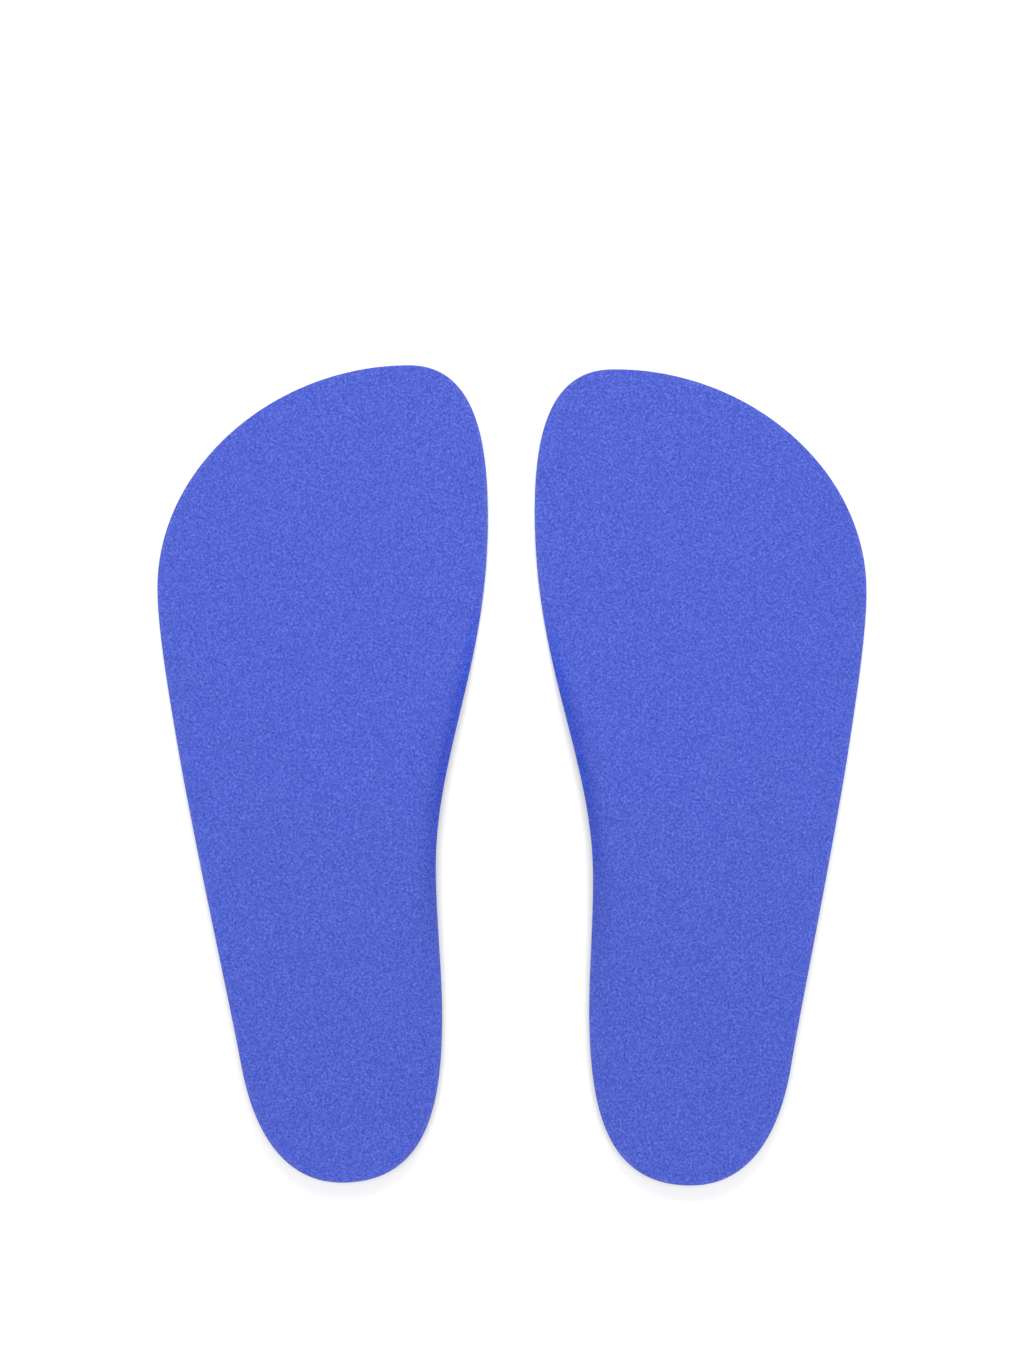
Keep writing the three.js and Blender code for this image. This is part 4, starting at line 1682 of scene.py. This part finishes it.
class INSOLE_OT_foams(bpy.types.Operator):
    """Make the two full-length soft foam layers and their forefoot studs"""

    bl_idname = "insole.foams"
    bl_label = "Foam Layers"

    def execute(self, context):
        footbed, ladder = shape_tools(context)
        material = foam_material(context.scene.insole_finishes)
        pad = footbed.forefoot_pad_oval()
        clearance = footbed.inset.clearance
        room = pad_room(pad, pad_thickness("forefoot_pad"), clearance, material)
        mesh = cut(foam_shape(footbed, ladder).mesh("foam", material), [room])
        studs = field_studs(footbed, ladder, footbed.shell_front(), math.inf, material)
        for side in SIDES:
            foam = place(footbed, mesh, side, "foam")
            grip = place(footbed, studs, side, "foam_studs")
            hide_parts(f"{side}_foam_rear", f"{side}_foam_front")
            bend(foam)
            bend(grip)
        return {"FINISHED"}


class INSOLE_OT_shells(bpy.types.Operator):
    """Make the two moulded base shells and their heel studs"""

    bl_idname = "insole.shells"
    bl_label = "Base Shells"

    def execute(self, context):
        footbed, ladder = shape_tools(context)
        material = shell_material(context.scene.insole_finishes)
        pad = footbed.heel_pad_oval()
        rooms = [
            pad_room(pad, pad_thickness("heel_pad"), footbed.inset.clearance, material),
            support_room(footbed, material),
        ]
        mesh = cut(shell_shape(footbed, ladder).mesh("base_shell", material), rooms)
        ahead_of_pad = pad.middle[1] + pad.half[1]
        studs = field_studs(footbed, ladder, ahead_of_pad, footbed.shell_front(), material)
        for side in SIDES:
            shell = place(footbed, mesh, side, "base_shell_skin")
            grip = place(footbed, studs, side, "shell_studs")
            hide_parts(f"{side}_base_shell")
            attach(shell, f"{side}_insole")
            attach(grip, f"{side}_insole")
        return {"FINISHED"}


class INSOLE_OT_supports(bpy.types.Operator):
    """Make the two ribbed arch supports"""

    bl_idname = "insole.supports"
    bl_label = "Arch Supports"

    def execute(self, context):
        footbed = Footbed(context.scene)
        material = support_material(context.scene.insole_finishes)
        plate = support_shape(footbed).mesh("arch_support", material)
        ribs = support_ribs(footbed, plate, material)
        for side in SIDES:
            support = place(footbed, plate, side, "arch_support_plate")
            bars = place(footbed, ribs, side, "arch_support_ribs")
            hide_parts(f"{side}_arch_support")
            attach(support, f"{side}_insole")
            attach(bars, f"{side}_insole")
        return {"FINISHED"}


class INSOLE_OT_pads(bpy.types.Operator):
    """Make the heel pads and the forefoot pads with their dots"""

    bl_idname = "insole.pads"
    bl_label = "Heel and Forefoot Pads"

    def execute(self, context):
        footbed = Footbed(context.scene)
        material = pad_material(context.scene.insole_finishes)
        ovals = {"heel_pad": footbed.heel_pad_oval(), "forefoot_pad": footbed.forefoot_pad_oval()}
        for name, oval in ovals.items():
            belly = footbed.inset.dimple_depth
            mesh = pad_shape(oval, pad_thickness(name), belly).mesh(name, material)
            dots = pad_dots(footbed, oval, material)
            for side in SIDES:
                pad = place(footbed, mesh, side, f"{name}_cushion")
                grip = place(footbed, dots, side, f"{name}_dots")
                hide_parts(f"{side}_{name}")
                for piece in (pad, grip):
                    if name == "heel_pad":
                        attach(piece, f"{side}_insole")
                    else:
                        bend(piece)
        return {"FINISHED"}


class INSOLE_OT_stage(bpy.types.Operator):
    """Make the pale floor, the soft light and the camera"""

    bl_idname = "insole.stage"
    bl_label = "Stage"

    def execute(self, context):
        scene = context.scene
        sizes = scene.insole_stage
        low, high = CAD_BOX
        middle = (low + high) / 2
        self.add_floor(scene, sizes)
        self.add_lights(sizes, middle)
        self.add_sky(scene, sizes)
        self.add_camera(scene, sizes, middle)
        scene.view_settings.view_transform = "Standard"
        return {"FINISHED"}

    def add_floor(self, scene, sizes):
        """A flat square, a hair below the insoles."""
        half = sizes.floor_size / 2
        depth = 0.1 * MM
        mesh = bpy.data.meshes.new("floor")
        square = [(x * half, y * half, -depth) for x, y in ((-1, -1), (1, -1), (1, 1), (-1, 1))]
        mesh.from_pydata(square, [], [(0, 1, 2, 3)])
        mesh.materials.append(floor_material(scene.insole_finishes))
        linked("floor", mesh)

    def add_lights(self, sizes, middle):
        """A soft sun straight above, and a broad lamp over the toes."""
        sun = bpy.data.lights.new("key_light", "SUN")
        sun.energy = sizes.key_strength
        sun.angle = sizes.key_spread
        linked("key_light", sun)
        lamp = bpy.data.lights.new("fill_light", "AREA")
        lamp.energy = sizes.fill_power
        lamp.size = sizes.fill_size
        fill = linked("fill_light", lamp)
        fill.location = (middle.x, middle.y + sizes.fill_ahead, sizes.fill_height)
        aim = Vector((middle.x, middle.y, 0)) - fill.location
        fill.rotation_euler = aim.to_track_quat("-Z", "Y").to_euler()

    def add_sky(self, scene, sizes):
        """An even pale light, which looks white where the floor ends."""
        world = bpy.data.worlds.new("even_light")
        world.use_nodes = True
        tree = world.node_tree
        background = tree.nodes["Background"]
        seen = wired(tree, "ShaderNodeLightPath")["Is Camera Ray"]
        strength = {MIX_FACTOR: seen, MIX_LOW: sizes.sky, MIX_HIGH: 1.0}
        background.inputs["Color"].default_value = (1, 1, 1, 1)
        tree.links.new(wired(tree, "ShaderNodeMix", strength)[0], background.inputs["Strength"])
        scene.world = world

    def add_camera(self, scene, sizes, middle):
        """A camera that looks straight down on the pair."""
        lens = bpy.data.cameras.new("camera")
        lens.sensor_fit = "AUTO"
        lens.sensor_width = 36
        bed = scene.insole_footbed
        to_covers = sizes.camera_height - bed.stack - bed.shell_heel
        lens.lens = to_covers * lens.sensor_width / sizes.view_height
        camera = linked("camera", lens)
        camera.location = (middle.x, middle.y + sizes.view_ahead, sizes.camera_height)
        scene.camera = camera


class INSOLE_PT_panel(bpy.types.Panel):
    """Sidebar panel with one button for each group of pieces"""

    bl_idname = "INSOLE_PT_panel"
    bl_label = "Insole Pair"
    bl_space_type = "VIEW_3D"
    bl_region_type = "UI"
    bl_category = "Insoles"

    def draw(self, context):
        for operator in OPERATORS:
            self.layout.operator(operator.bl_idname)


# In the order that they run: the covers rest on the foams
OPERATORS = (
    INSOLE_OT_stage,
    INSOLE_OT_foams,
    INSOLE_OT_covers,
    INSOLE_OT_shells,
    INSOLE_OT_supports,
    INSOLE_OT_pads,
)

# Where the scene keeps its sizes and colours
PROPERTIES = {
    "insole_outline": OutlineSizes,
    "insole_footbed": FootbedSizes,
    "insole_insets": InsetSizes,
    "insole_nap": NapSizes,
    "insole_finishes": Finishes,
    "insole_stage": StageSizes,
}


def register():
    """Registers the sizes, the operators and the panel."""
    for name, kind in PROPERTIES.items():
        bpy.utils.register_class(kind)
        setattr(bpy.types.Scene, name, PointerProperty(type=kind))
    for kind in (*OPERATORS, INSOLE_PT_panel):
        bpy.utils.register_class(kind)


def unregister():
    """Takes back everything that register added."""
    for kind in (INSOLE_PT_panel, *reversed(OPERATORS)):
        bpy.utils.unregister_class(kind)
    for name, kind in reversed(PROPERTIES.items()):
        delattr(bpy.types.Scene, name)
        bpy.utils.unregister_class(kind)


def main():
    """Builds everything."""
    register()
    for operator in OPERATORS:
        family, name = operator.bl_idname.split(".")
        getattr(getattr(bpy.ops, family), name)()


if __name__ == "__main__":
    main()
